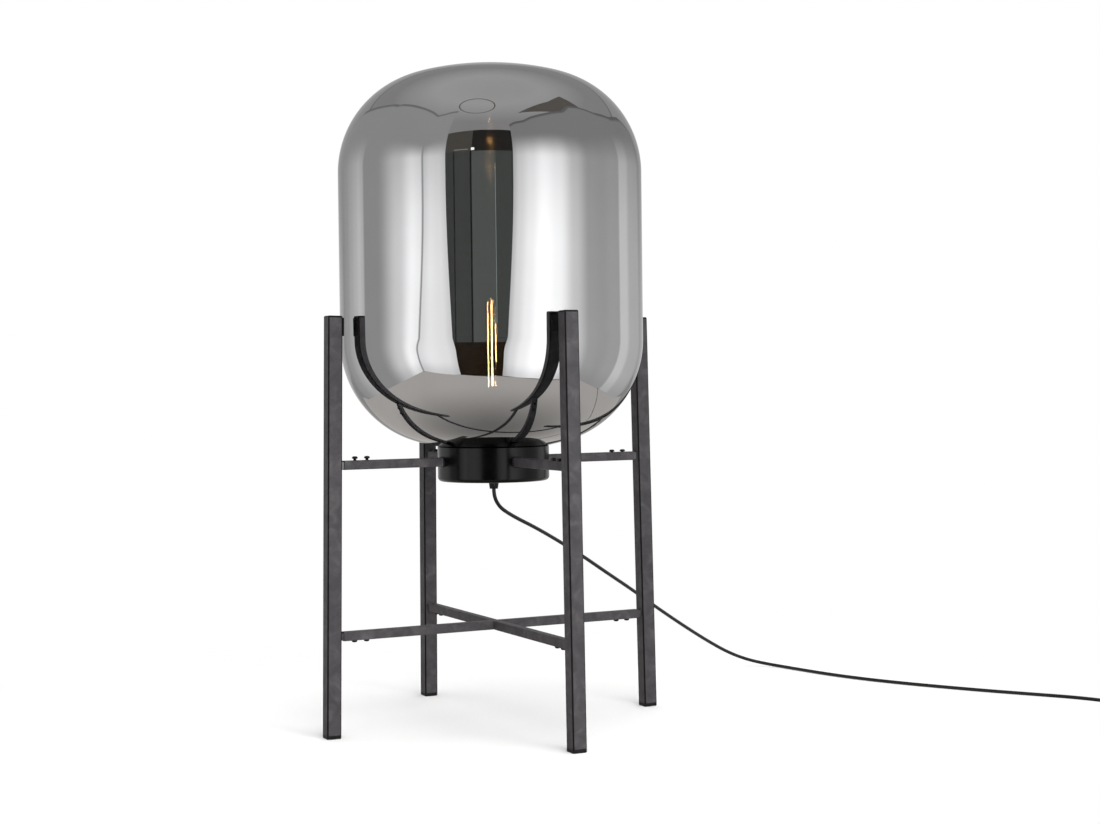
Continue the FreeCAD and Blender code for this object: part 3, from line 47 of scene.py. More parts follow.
# The photograph's camera, fitted to the legs, bars and feet.
camera = {
    "place": Vector((-1.0452, -2.2592, 0.4686)),
    "right": Vector((0.8938, -0.4483, -0.0118)),
    "up": Vector((0.0187, 0.0109, 0.9998)),
    "forward": Vector((0.4481, 0.8938, -0.0181)),
    "lensMm": 59.5,
    "sensorMm": 36,
    "clipStart": 0.05,
}


def makeCamera():
    data = bpy.data.cameras.new("Camera")
    data.lens = camera["lensMm"]
    data.sensor_width = camera["sensorMm"]
    data.sensor_fit = "HORIZONTAL"
    data.clip_start = camera["clipStart"]
    eye = bpy.data.objects.new("Camera", data)
    scene.collection.objects.link(eye)
    turn = Matrix((camera["right"], camera["up"], -camera["forward"])).transposed()
    turn = turn.to_quaternion().to_matrix()  # the fitted axes are rounded, this squares them
    eye.matrix_world = Matrix.Translation(camera["place"]) @ turn.to_4x4()
    scene.camera = eye
    scene.view_settings.view_transform = "Standard"
    print("camera made")


# A hex colour as linear light, with full opacity.
def linear(text):
    channels = [int(text[start:start + 2], 16) / 255 for start in (1, 3, 5)]
    return [c / 12.92 if c <= 0.04045 else ((c + 0.055) / 1.055) ** 2.4 for c in channels] + [1]


# From 0 to 1, slow at both ends.
def eased(share):
    share = min(max(share, 0), 1)
    return share * share * (3 - 2 * share)


# Adds a shader node. An input takes a value, a socket to link, or a node, which gives its
# first output. Stops are (place, hex or linear colour) pairs of a colour ramp.
def addNode(tree, kind, inputs=None, stops=None, **settings):
    node = tree.nodes.new("ShaderNode" + kind)
    for name, value in settings.items():
        setattr(node, name, value)
    for name, value in (inputs or {}).items():
        if isinstance(value, bpy.types.Node):
            value = value.outputs[0]
        if isinstance(value, bpy.types.NodeSocket):
            tree.links.new(value, node.inputs[name])
        else:
            node.inputs[name].default_value = value
    if stops:
        elements = node.color_ramp.elements
        while len(elements) < len(stops):
            elements.new(0.5)
        for element, (place, colour) in zip(elements, stops):
            element.position = place
            element.color = linear(colour) if isinstance(colour, str) else colour
    return node


def newMaterial(name):
    material = bpy.data.materials.new(name)
    material.use_nodes = True
    tree = material.node_tree
    tree.nodes.clear()
    return material, tree


def meshObject(name, form, material, smooth=True):
    bmesh.ops.recalc_face_normals(form, faces=form.faces)
    data = bpy.data.meshes.new(name)
    form.to_mesh(data)
    form.free()
    for polygon in data.polygons:
        polygon.use_smooth = smooth
    thing = bpy.data.objects.new(name, data)
    scene.collection.objects.link(thing)
    data.materials.append(material)
    return thing


# Turns (radius, height) points about the lamp's axis.
def spin(profile, steps):
    form = bmesh.new()
    points = [form.verts.new((radius, 0, height)) for radius, height in profile]
    edges = [form.edges.new(pair) for pair in zip(points, points[1:])]
    bmesh.ops.spin(form, geom=points + edges, cent=(0, 0, 0), axis=(0, 0, 1),
                   angle=2 * math.pi, steps=steps, use_merge=True)
    bmesh.ops.remove_doubles(form, verts=form.verts, dist=1e-6)
    return form


# (radius, height) points on an arc, with angles in radians up from outwards.
def arcPoints(centre, radius, start, end, count):
    angles = [start + (end - start) * step / count for step in range(count + 1)]
    return [(centre[0] + radius * math.cos(a), centre[1] + radius * math.sin(a)) for a in angles]


# Round bars along smooth lines: the cord, the filament, welds and threads.
def makeTube(name, lines, radius, material, cyclic=False, lengthSteps=4, roundSteps=3):
    data = bpy.data.curves.new(name, "CURVE")
    data.dimensions = "3D"
    for points in lines:
        spline = data.splines.new("NURBS")
        spline.points.add(len(points) - 1)
        for target, point in zip(spline.points, points):
            target.co = (*point, 1)
        spline.order_u = 3
        spline.use_cyclic_u = cyclic
        spline.use_endpoint_u = not cyclic
        spline.resolution_u = lengthSteps
    data.bevel_depth = radius
    data.bevel_resolution = roundSteps
    data.use_fill_caps = True
    thing = bpy.data.objects.new(name, data)
    scene.collection.objects.link(thing)
    data.materials.append(material)
    return thing


# Plain finishes, each named for the real one. Colour, roughness and how rough it varies;
# spread is how far the tone varies; blotchMm is the size of its patches, grainMm of its
# texture. Grain this fine doesn't show as such in the picture: it softens the highlights.
finishes = {
    # Satin powder coat over spun steel: near black, and the walls show in it as soft bands.
    "satinPowderCoat": {"colour": "#020202", "roughness": 0.21, "roughSpread": 0.03, "grainMm": 0.5,
                        "grainHeightMm": 0.006, "spread": 0.1, "specular": 0.17,
                        "nodes": ["cup_shell"]},
    # Painted weld: lumpier and duller than the sheet beside it.
    "paintedWeld": {"colour": "#0c0c0d", "roughness": 0.4, "grainMm": 0.8, "grainHeightMm": 0.06,
                    "specular": 0.2},
    # Painted flat steel, hidden under the globe: plain satin grey-black.
    "paintedSteel": {"colour": "#1c1c1d", "roughness": 0.45, "grainMm": 0.5, "nodes": ["seat_plate"]},
    # Bare mild steel, cut and left: a dull grey metal.
    "bareSteel": {"colour": "#6c6c6e", "roughness": 0.42, "metallic": 1.0, "grainMm": 0.3,
                  "spread": 0.1},
    # Bright zinc plating: light, slightly hazy metal.
    "zincPlatedSteel": {"colour": "#b9babd", "roughness": 0.32, "metallic": 1.0, "grainMm": 0.3,
                        "spread": 0.1, "nodes": ["threaded_tube", "tube_nuts", "holder_washer"]},
    # Blackened steel screws: dark, with a glint on the dome.
    "blackenedSteel": {"colour": "#141416", "roughness": 0.34, "metallic": 0.6, "grainMm": 0.3},
    # Phosphated steel screws under the switch: the same dark, without the glint.
    "phosphatedSteel": {"colour": "#141416", "roughness": 0.4, "metallic": 0.6, "grainMm": 0.3,
                        "nodes": ["switch_screws"]},
    # Polypropylene caps: moulded, black and dull.
    "polypropylene": {"colour": "#0c0c0c", "roughness": 0.5, "grainMm": 0.4, "specular": 0.2,
                      "nodes": ["leg_top_caps", "foot_caps"]},
    # Rubber pads: black with almost no highlight.
    "rubber": {"colour": "#0d0d0d", "roughness": 0.8, "grainMm": 0.3, "grainHeightMm": 0.03,
               "specular": 0.2, "nodes": ["bumper_pads"]},
    # Silicone ring: milky grey, soft sheen.
    "silicone": {"colour": "#8a8a88", "roughness": 0.55, "grainMm": 0.8, "nodes": ["glass_gasket"]},
    # Phenolic moulding of the lamp holder: hard, dark, fairly glossy.
    "phenolic": {"colour": "#161616", "roughness": 0.35, "nodes": ["holder_base", "holder_skirt"]},
    # Pressed steatite: cream and matt.
    "steatite": {"colour": "#e4ded0", "roughness": 0.5, "grainMm": 0.5, "spread": 0.05,
                 "nodes": ["holder_core"]},
    # Rolled brass: warm yellow metal.
    "rolledBrass": {"colour": "#c9a45c", "roughness": 0.28, "metallic": 1.0, "grainMm": 0.3,
                    "spread": 0.1, "nodes": ["screw_shell", "centre_contact"]},
    # Nickel plated bulb cap: pale warm metal.
    "nickelPlate": {"colour": "#c4c2bd", "roughness": 0.3, "metallic": 1.0, "grainMm": 0.3,
                    "spread": 0.08, "nodes": ["bulb_cap"]},
    # Black glass that insulates the bulb's cap: the glossiest of the dark parts.
    "blackGlass": {"colour": "#141414", "roughness": 0.2, "grainMm": 0.5, "nodes": ["bulb_insulator"]},
    # Solder blob: dull silver.
    "solder": {"colour": "#b4b4b4", "roughness": 0.5, "metallic": 1.0, "grainMm": 0.3,
               "nodes": ["bulb_contact"]},
    # Molybdenum wire that holds the filament: dark grey metal.
    "molybdenumWire": {"colour": "#8f8a84", "roughness": 0.4, "metallic": 1.0, "grainMm": 0.2,
                       "nodes": ["filament_supports"]},
    # Glass fibre sleeves on the two lead wires: dull brown.
    "glassFibreSleeve": {"colour": "#8a6f4e", "roughness": 0.5, "grainMm": 0.4,
                         "nodes": ["lead_wires"]},
    # Soft PVC cord sheath: black with a narrow highlight along it.
    "pvcSheath": {"colour": "#0c0c0d", "roughness": 0.36, "grainMm": 0.35, "grainHeightMm": 0.012,
                  "spread": 0.12, "blotchMm": 9, "specular": 0.3, "nodes": ["cord_riser"]},
    # Nylon grip: black, a little duller than the cord.
    "nylon": {"colour": "#0e0e0e", "roughness": 0.45, "grainMm": 0.4, "specular": 0.2,
              "nodes": ["cord_grip"]},
    # ABS foot switch: satin charcoal with a fine moulded texture.
    "abs": {"colour": "#171717", "roughness": 0.38, "grainMm": 0.7,
            "nodes": ["switch_base", "switch_cover", "switch_pedal"]},
    # White polyamide block inside the switch.
    "polyamide": {"colour": "#c4c4be", "roughness": 0.5, "grainMm": 0.5, "nodes": ["switch_module"]},
    # Hard PVC plug: charcoal, a touch duller than the switch.
    "mouldedPvc": {"colour": "#171717", "roughness": 0.4, "grainMm": 0.7, "nodes": ["plug_body"]},
    # Plated brass pins: bright pale metal.
    "platedPins": {"colour": "#c9c6ba", "roughness": 0.25, "metallic": 1.0, "grainMm": 0.3,
                   "nodes": ["plug_pins"]},
}
usualFinish = {"roughSpread": 0.08, "metallic": 0.0, "grainMm": 0.6, "grainHeightMm": 0.02,
               "spread": 0.15, "blotchMm": 18, "specular": 0.5}
finishesMade = {}


# The material for a finish, made the first time that it is asked for.
def finish(name):
    if name in finishesMade:
        return finishesMade[name]
    values = {**usualFinish, **finishes[name]}
    material, tree = newMaterial(name)
    place = addNode(tree, "TexCoord").outputs["Object"]
    blotch = addNode(tree, "TexNoise", {"Vector": place, "Scale": 1000 / values["blotchMm"],
                                        "Detail": 3, "Roughness": 0.55})
    grain = addNode(tree, "TexNoise", {"Vector": place, "Scale": 1000 / values["grainMm"],
                                       "Detail": 2, "Roughness": 0.5})
    base = linear(values["colour"])[:3]
    dark = [c * (1 - values["spread"]) for c in base] + [1]
    light = [min(c * (1 + values["spread"]), 1) for c in base] + [1]
    tone = addNode(tree, "ValToRGB", {"Fac": blotch}, stops=[(0.3, dark), (0.7, light)])
    gloss = addNode(tree, "MapRange", {"Value": blotch, "From Min": 0.3, "From Max": 0.7,
                                       "To Min": values["roughness"] - values["roughSpread"],
                                       "To Max": values["roughness"] + values["roughSpread"]})
    bump = addNode(tree, "Bump", {"Height": grain, "Strength": 0.6,
                                  "Distance": values["grainHeightMm"] / 1000})
    shader = addNode(tree, "BsdfPrincipled", {
        "Base Color": tone, "Roughness": gloss, "Metallic": values["metallic"],
        "Specular IOR Level": values["specular"], "Normal": bump})
    addNode(tree, "OutputMaterial", {"Surface": shader})
    finishesMade[name] = material
    return material


# Powder coat wiped by hand: dark warm grey, satin and softly clouded, with painted shade
# along the rounded corners of the tubes, which are drawn near black. Real clouds are smaller.
# These are as coarse as they need to be to show.
legCoat = {
    "nodes": ["leg_right", "leg_back", "leg_left", "leg_front",
              "strut_right", "strut_back", "strut_left", "strut_front",
              "cross_bar_long", "cross_bar_left", "cross_bar_right"],
    "tones": [(0.35, "#393739"), (0.55, "#413f41"), (0.75, "#4d4b4c")],
    "cloudMm": 18.18,
    "cloudSwirl": 0.8,
    "peelMm": 0.714,
    "peelHeightMm": 0.02,
    # Painted shade: the near-black tone drawn along the tubes' rounded corners.
    "corner": "#0c0c0c",
    "cornerShadeFrom": 0.02,  # a corner's normal has both X and Y: their squares' product
    "cornerShadeFull": 0.16,
    "roughness": 0.5,
    "cornerRoughness": 0.8,
    "specular": 0.09,
}


def wipedPowderCoat():
    material, tree = newMaterial("wipedPowderCoat")
    source = addNode(tree, "TexCoord")
    place, normal = source.outputs["Object"], source.outputs["Normal"]
    cloud = addNode(tree, "TexNoise", {"Vector": place, "Scale": 1000 / legCoat["cloudMm"], "Detail": 3,
                                       "Roughness": 0.55, "Distortion": legCoat["cloudSwirl"]})
    peel = addNode(tree, "TexNoise", {"Vector": place, "Scale": 1000 / legCoat["peelMm"], "Detail": 2,
                                      "Roughness": 0.5})
    tone = addNode(tree, "ValToRGB", {"Fac": cloud}, stops=legCoat["tones"])
    # Painted shade: the product of the normal's squared X and Y marks the rounded corners between two
    # faces, and there the tone is mixed to near black.
    square = addNode(tree, "VectorMath", {0: normal, 1: normal}, operation="MULTIPLY")
    split = addNode(tree, "SeparateXYZ", {"Vector": square})
    both = addNode(tree, "Math", {0: split.outputs["X"], 1: split.outputs["Y"]}, operation="MULTIPLY")
    corner = addNode(tree, "MapRange", {"Value": both, "From Min": legCoat["cornerShadeFrom"],
                                        "From Max": legCoat["cornerShadeFull"]})
    # Sockets 6 and 7 are the two colours of a colour mix, and 2 is its result.
    colour = addNode(tree, "Mix", {"Factor": corner, 6: tone, 7: linear(legCoat["corner"])},
                     data_type="RGBA")
    gloss = addNode(tree, "MapRange", {"Value": corner, "To Min": legCoat["roughness"],
                                       "To Max": legCoat["cornerRoughness"]})
    bump = addNode(tree, "Bump", {"Height": peel, "Strength": 0.5,
                                  "Distance": legCoat["peelHeightMm"] / 1000})
    shader = addNode(tree, "BsdfPrincipled", {
        "Base Color": colour.outputs[2], "Roughness": gloss,
        "Specular IOR Level": legCoat["specular"], "Normal": bump})
    addNode(tree, "OutputMaterial", {"Surface": shader})
    return material


def paint(material, names):
    for name in names:
        data = nodes[name].data
        data.materials.clear()
        data.materials.append(material)


def paintFrame():
    paint(wipedPowderCoat(), legCoat["nodes"])
    paint(clearGlass("stemGlass", "#f4f0e8"), ["bulb_stem"])
    for name, values in finishes.items():
        if "nodes" in values:
            paint(finish(name), values["nodes"])
    print("frame painted")


# Soda-lime glass: clear, with a slight tint and the faint waves of blown glass.
glass = {"ior": 1.47, "waveMm": 33.3, "waveHeightMm": 0.2, "waveStrength": 0.3}


def clearGlass(name, tint):
    material, tree = newMaterial(name)
    place = addNode(tree, "TexCoord").outputs["Object"]
    wave = addNode(tree, "TexNoise", {"Vector": place, "Scale": 1000 / glass["waveMm"], "Detail": 1,
                                      "Roughness": 0.4})
    bump = addNode(tree, "Bump", {"Height": wave, "Strength": glass["waveStrength"],
                                  "Distance": glass["waveHeightMm"] / 1000})
    shader = addNode(tree, "BsdfPrincipled", {
        "Base Color": linear(tint), "Roughness": 0.0, "IOR": glass["ior"], "Transmission Weight": 1.0,
        "Normal": bump})
    addNode(tree, "OutputMaterial", {"Surface": shader})
    return material


# Smoked glass with a half-mirror coating on its outer face: the room and the legs show in
# it, and the lit bulb still comes through. The share of metal is the share of mirror.
mirrorCoat = {
    "metallic": 0.88,
    "ior": 1.46,
    "edgeTint": "#e1e1e1",
    "tones": [(0.3, "#aeaeaf"), (0.7, "#b2b2b3")],
    "hazeMm": 83.3,
    "waveMm": 143,
    "waveHeightMm": 0.5,
    "waveStrength": 0.2,
}


def smokedMirrorGlass():
    material, tree = newMaterial("smokedMirrorGlass")
    place = addNode(tree, "TexCoord").outputs["Object"]
    wave = addNode(tree, "TexNoise", {"Vector": place, "Scale": 1000 / mirrorCoat["waveMm"],
                                      "Detail": 1, "Roughness": 0.4})
    haze = addNode(tree, "TexNoise", {"Vector": place, "Scale": 1000 / mirrorCoat["hazeMm"],
                                      "Detail": 3, "Roughness": 0.5})
    bump = addNode(tree, "Bump", {"Height": wave, "Strength": mirrorCoat["waveStrength"],
                                  "Distance": mirrorCoat["waveHeightMm"] / 1000})
    tone = addNode(tree, "ValToRGB", {"Fac": haze}, stops=mirrorCoat["tones"])
    shader = addNode(tree, "BsdfPrincipled", {
        "Base Color": tone, "Roughness": 0.0, "Metallic": mirrorCoat["metallic"],
        "IOR": mirrorCoat["ior"], "Specular Tint": linear(mirrorCoat["edgeTint"]),
        "Transmission Weight": 1.0, "Normal": bump})
    addNode(tree, "OutputMaterial", {"Surface": shader})
    return material


# The globe: a flat-crowned drum of blown glass on a short open neck.
globe = {
    "radius": 0.2064,
    "top": 0.896,
    "crown": 0.397,
    "shoulder": 0.137,
    "baseCrown": 0.382,
    "baseShoulder": 0.142,
    "apex": 0.371,
    "neckRadius": 0.064,
    "neckRound": 0.003,
    "rim": 0.3668,
    "wall": 0.0025,
    "innerTint": "#d8d8d8",
    "steps": 240,
    "neckSteps": 6,
    "baseSteps": 12,
    "sideSteps": 40,
    "crownSteps": 24,
}


# Neck, base, side and crown, from the rim up to the axis, moved in by inset.
def globeProfile(inset):
    crownCentre = globe["top"] - globe["crown"]
    shoulderOut = globe["radius"] - globe["shoulder"]
    shoulderReach = globe["crown"] - globe["shoulder"]
    shoulderUp = crownCentre + math.sqrt(shoulderReach ** 2 - shoulderOut ** 2)
    baseCentre = globe["apex"] + globe["baseCrown"]
    baseOut = globe["radius"] - globe["baseShoulder"]
    baseReach = globe["baseCrown"] - globe["baseShoulder"]
    baseUp = baseCentre - math.sqrt(baseReach ** 2 - baseOut ** 2)
    crownAngle = math.atan2(shoulderUp - crownCentre, shoulderOut)
    baseAngle = math.atan2(baseUp - baseCentre, baseOut)
    # A small arc rounds the neck into the base.
    neckOut = globe["neckRadius"] + globe["neckRound"]
    neckReach = globe["baseCrown"] + globe["neckRound"]
    neckUp = baseCentre - math.sqrt(neckReach ** 2 - neckOut ** 2)
    neckAngle = math.atan2(neckUp - baseCentre, neckOut)
    points = [(globe["neckRadius"] - inset, globe["rim"])]
    points += arcPoints((neckOut, neckUp), globe["neckRound"] + inset, math.pi, neckAngle + math.pi,
                        globe["neckSteps"])
    points += arcPoints((0, baseCentre), globe["baseCrown"] - inset, neckAngle, baseAngle,
                        globe["baseSteps"])[1:]
    points += arcPoints((baseOut, baseUp), globe["baseShoulder"] - inset, baseAngle, 0,
                        globe["sideSteps"])[1:]
    points += arcPoints((shoulderOut, shoulderUp), globe["shoulder"] - inset, 0, crownAngle,
                        globe["sideSteps"])
    points += arcPoints((0, crownCentre), globe["crown"] - inset, crownAngle, math.pi / 2,
                        globe["crownSteps"])[1:-1]
    points.append((0, globe["top"] - inset))
    return points


# The wall's inner face has no coating. Its normals point towards the globe's middle.
def paintInside(data):
    middle = Vector((0, 0, (globe["top"] + globe["rim"]) / 2))
    for polygon in data.polygons:
        if polygon.normal.dot(middle - polygon.center) > 0:
            polygon.material_index = 1


def makeGlobe():
    half = globe["wall"] / 2
    lip = arcPoints((globe["neckRadius"] - half, globe["rim"]), half, 2 * math.pi, math.pi, 6)[1:-1]
    profile = list(reversed(globeProfile(0))) + lip + globeProfile(globe["wall"])
    thing = meshObject("glassGlobe", spin(profile, globe["steps"]), smokedMirrorGlass())
    thing.data.materials.append(clearGlass("smokedGlass", globe["innerTint"]))
    paintInside(thing.data)
    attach(thing, "globe")
    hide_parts("glass_globe")
    print("globe made")


# A clear tubular bulb with a hairpin filament. Base is the height of its contact, and the
# heights of cap and filament are above that.
bulb = {
    "base": 0.4003,
    "height": 0.185,
    "radius": 0.0156,
    "neckRadius": 0.0122,
    "capTop": 0.0267,
    "neckDepth": 0.008,
    "shoulder": 0.009,
    "tipFlat": 0.0008,
    "wall": 0.0008,
    "tint": "#fbf6ea",
    "steps": 96,
    "shoulderSteps": 8,
    "tipSteps": 16,
    "wire": 0.00032,
    "ring": 0.0054,
    "hairpins": [(0.092, 0.144), (0.058, 0.174), (0.058, 0.174), (0.092, 0.174)],
    "firstHairpin": -0.433,
    "hairpinHalf": 0.055,
    "bends": (0, 0.06, 0.5, 0.94, 1),
}

# Tungsten at white heat: yellow-white strands, each wound in a coil too fine to see.
tungsten = {
    "colour": "#e7b47c",
    "glow": [(0.0, "#ffbc69"), (1.0, "#ffd795")],
    "strength": 115.0,
    "coilMm": 0.449,
}


def glowingTungsten():
    material, tree = newMaterial("glowingTungsten")
    place = addNode(tree, "TexCoord").outputs["Object"]
    # A wave node's period is pi / 10 over its scale.
    coils = addNode(tree, "TexWave", {"Vector": place, "Scale": 100 * math.pi / tungsten["coilMm"],
                                      "Distortion": 0.5}, bands_direction="Z")
    tone = addNode(tree, "ValToRGB", {"Fac": coils.outputs["Fac"]}, stops=tungsten["glow"])
    shader = addNode(tree, "BsdfPrincipled", {
        "Base Color": linear(tungsten["colour"]), "Roughness": 0.6, "Emission Color": tone,
        "Emission Strength": tungsten["strength"]})
    addNode(tree, "OutputMaterial", {"Surface": shader})
    material.cycles.emission_sampling = "NONE"
    return material


def bulbProfile(inset):
    neckTop = bulb["base"] + bulb["capTop"]
    tip = bulb["base"] + bulb["height"]
    tipRound = bulb["radius"] - bulb["tipFlat"]
    points = [(bulb["neckRadius"] - inset, neckTop - bulb["neckDepth"])]
    for step in range(bulb["shoulderSteps"] + 1):
        share = step / bulb["shoulderSteps"]
        radius = bulb["neckRadius"] + (bulb["radius"] - bulb["neckRadius"]) * eased(share)
        points.append((radius - inset, neckTop + bulb["shoulder"] * share))
    points += arcPoints((bulb["tipFlat"], tip - tipRound), tipRound - inset, 0, math.pi / 2,
                        bulb["tipSteps"])
    points.append((0, tip - inset))
    return points


# Four hairpins on a ring. Each goes up one side, over, and down the other.
def hairpinLines():
    lines = []
    for number, (low, high) in enumerate(bulb["hairpins"]):
        middle = bulb["firstHairpin"] + math.pi / 2 * number
        points = []
        for side, bends in ((-1, bulb["bends"]), (1, reversed(bulb["bends"]))):
            angle = middle + side * bulb["hairpinHalf"]
            across, along = bulb["ring"] * math.cos(angle), bulb["ring"] * math.sin(angle)
            points += [Vector((across, along, bulb["base"] + low + (high - low) * share))
                       for share in bends]
        lines.append(points)
    return lines


def makeBulb():
    profile = list(reversed(bulbProfile(0))) + bulbProfile(bulb["wall"])
    shell = meshObject("bulbGlass", spin(profile, bulb["steps"]), clearGlass("bulbGlass", bulb["tint"]))
    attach(shell, "bulb")
    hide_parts("bulb_glass")
    filament = makeTube("filament", hairpinLines(), bulb["wire"], glowingTungsten())
    filament.visible_diffuse = False
    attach(filament, "bulb")
    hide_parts("bulb_filament")
    print("bulb made")


# The cord: straight down from the grip, across the floor to the foot switch, then a neat
# coil of the spare length and the plug.
cord = {
    "radius": 0.0026,
    "floor": 0.0028,
    "route": [
        (0, 0, 0.3195), (0, 0, 0.309), (0.0095, 0.0046, 0.295), (0.0225, 0.011, 0.2865),
        (0.045, 0.022, 0.2755), (0.078, 0.038, 0.2615), (0.115, 0.058, 0.2445),
        (0.175, 0.087, 0.2145), (0.236, 0.114, 0.18), (0.296, 0.141, 0.147),
        (0.355, 0.166, 0.112), (0.413, 0.188, 0.079), (0.466, 0.207, 0.05),
        (0.513, 0.22, 0.026), (0.551, 0.221, 0.011), (0.577, 0.203, 0.0045),
        (0.59, 0.174, 0.0028), (0.597, 0.134, 0.0028), (0.608, 0.08, 0.0028),
        (0.627, 0.018, 0.0028), (0.654, -0.044, 0.0028), (0.686, -0.104, 0.0028),
        (0.721, -0.164, 0.0028), (0.757, -0.224, 0.0034), (0.79, -0.286, 0.0046),
        (0.812, -0.352, 0.0046),
    ],
    "switchHalf": 0.036,
    "straight": 0.014,
    "coilLead": 0.052,
    "coilRadius": 0.033,
    "coilPitch": 0.0064,
    "coilLayer": 0.006,
    "turnsIn": 1.5,
    "turnsClimb": 0.5,
    "turnsOut": 1.5,
    "turnPoints": 16,
    "plugLead": 0.04,
    "plugStraight": 0.012,
    "plugHeight": 0.007,
    "length": 2.09,
    "carries": ["switch_base", "switch_cover", "switch_pedal", "switch_module",
                "plug_body", "plug_pins"],
}


# The coil winds inwards on the floor, climbs a layer, and winds outwards again on top.
def coilLine(centre, first):
    points = []
    turns = cord["turnsIn"] + cord["turnsClimb"] + cord["turnsOut"]
    for step in range(int(turns * cord["turnPoints"]) + 1):
        turn = step / cord["turnPoints"]
        climb = min(max(turn - cord["turnsIn"], 0), cord["turnsClimb"])
        outward = max(turn - cord["turnsIn"] - cord["turnsClimb"], 0)
        radius = cord["coilRadius"] - cord["coilPitch"] * (min(turn, cord["turnsIn"]) - outward)
        angle = first + 2 * math.pi * turn
        height = cord["floor"] + cord["coilLayer"] * climb / cord["turnsClimb"]
        points.append(Vector((centre.x + radius * math.cos(angle),
                              centre.y + radius * math.sin(angle), height)))
    return points


def cordLine():
    points = [Vector(point) for point in cord["route"]]
    heading = (points[-1] - points[-2]) * Vector((1, 1, 0))
    heading.normalize()
    leftward = Vector((-heading.y, heading.x, 0))
    switchCentre = points[-1] + heading * cord["switchHalf"]
    tailStart = switchCentre + heading * cord["switchHalf"]
    coilStart = tailStart + heading * cord["coilLead"]
    coilStart.z = cord["floor"]
    points += [switchCentre, tailStart, tailStart + heading * cord["straight"],
               coilStart - heading * cord["straight"]]
    points += coilLine(coilStart + leftward * cord["coilRadius"], math.atan2(-leftward.y, -leftward.x))
    plugTail = points[-1] - heading * cord["plugLead"]
    plugTail.z = cord["plugHeight"]
    points += [plugTail + heading * cord["plugStraight"], plugTail]
    return points


def makeCord():
    thing = makeTube("cord", [cordLine()], cord["radius"], finish("pvcSheath"), lengthSteps=8,
                     roundSteps=6)
    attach(thing, "frame")
    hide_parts("cord_run", "cord_coil")
    print("cord made")


# M4 pan-head screws, two to each end of a bar. The profile's (out, up) shares of the head
# lie close together where the cross recess needs vertices.
screw = {
    "head": 0.0039,
    "headHeight": 0.003,
    "shank": 0.002,
    "depth": 0.0105,
    "profile": [(0.0, 1.0), (0.1, 1.0), (0.16, 0.995), (0.23, 0.99), (0.3, 0.985), (0.37, 0.97),
                (0.44, 0.96), (0.5, 0.945), (0.56, 0.93), (0.7, 0.86), (0.82, 0.75), (0.92, 0.57),
                (0.98, 0.35), (1.0, 0.1), (0.97, 0.0)],
    "recess": 0.0021,
    "slotHalf": 0.00055,
    "recessDepth": 0.0013,
    "recessRise": 0.6,
    "pitch": 0.017,
    "steps": 48,
    "firstTurn": 0.5,
}

# How far each pair stands up from its bar, for the right, back, left and front leg. The left
# strut's pair isn't driven home.
screwRows = {
    "strutScrews": {"node": "strut_screws", "away": 0.2015, "height": 0.3643, "down": False,
                    "raised": (0.0007, 0.0007, 0.0026, 0.0007)},
    "crossScrews": {"node": "cross_screws", "away": 0.2054, "height": 0.127, "down": True,
                    "raised": (0.0, 0.0, 0.0, 0.0)},
}


def screwForm(raised):
    profile = [(screw["head"] * out, raised + screw["headHeight"] * up) for out, up in screw["profile"]]
    profile += [(screw["shank"], raised), (screw["shank"], -screw["depth"]), (0, -screw["depth"])]
    form = spin(profile, screw["steps"])
    for vert in form.verts:
        near, far = sorted((abs(vert.co.x), abs(vert.co.y)))
        if vert.co.z > raised and near < screw["slotHalf"] and far < screw["recess"]:
            vert.co.z -= screw["recessDepth"] * (1 - screw["recessRise"] * far / screw["recess"])
    return form


def makeScrews(name):
    row = screwRows[name]
    form = bmesh.new()
    for number in range(8):
        side = number // 2
        single = bpy.data.meshes.new("screw")
        template = screwForm(row["raised"][side])
        template.to_mesh(single)
        template.free()
        out = row["away"] - screw["pitch"] * (number % 2)
        place = Matrix.Translation((0, 0, row["height"])) @ Matrix.Rotation(math.pi / 2 * side, 4, "Z")
        place = place @ Matrix.Translation((out, 0, 0))
        if row["down"]:
            place = place @ Matrix.Rotation(math.pi, 4, "X")
        single.transform(place @ Matrix.Rotation(screw["firstTurn"] + number, 4, "Z"))
        form.from_mesh(single)
        bpy.data.meshes.remove(single)
    thing = meshObject(name, form, finish("blackenedSteel"))
    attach(thing, "frame")
    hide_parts(row["node"])


# Where the struts meet the cup and the legs.
strut = {
    "height": 0.3583,
    "cupRadius": 0.0762,
    "weldHalf": 0.0063,
    "weldBead": 0.0011,
    "weldProud": 0.0003,
    "tongueSize": 0.0092,
    "tongueInner": 0.21785,
    "tongueOuter": 0.22228,
}


# A bead round the end of each strut, on the curve of the cup's wall.
def makeWelds():
    half = strut["weldHalf"]
    square = [(-half, -half), (0, -half), (half, -half), (half, 0), (half, half), (0, half),
              (-half, half), (-half, 0)]
    lines = []
    for side in range(4):
        turn = Matrix.Rotation(math.pi / 2 * side, 3, "Z")
        points = []
        for across, up in square:
            out = math.sqrt(strut["cupRadius"] ** 2 - across ** 2) + strut["weldProud"]
            points.append(turn @ Vector((out, across, strut["height"] + up)))
        lines.append(points)
    thing = makeTube("weldBeads", lines, strut["weldBead"], finish("paintedWeld"), cyclic=True)
    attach(thing, "frame")


# The legs' tongues are bare where they show in the gap at a strut's end.
def makeTongues():
    form = bmesh.new()
    length = strut["tongueOuter"] - strut["tongueInner"]
    shape = Matrix.Diagonal((length, strut["tongueSize"], strut["tongueSize"], 1))
    for side in range(4):
        place = Matrix.Rotation(math.pi / 2 * side, 4, "Z")
        place = place @ Matrix.Translation((strut["tongueInner"] + length / 2, 0, strut["height"]))
        bmesh.ops.create_cube(form, size=1, matrix=place @ shape)
    thing = meshObject("bareTongues", form, finish("bareSteel"), smooth=False)
    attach(thing, "frame")


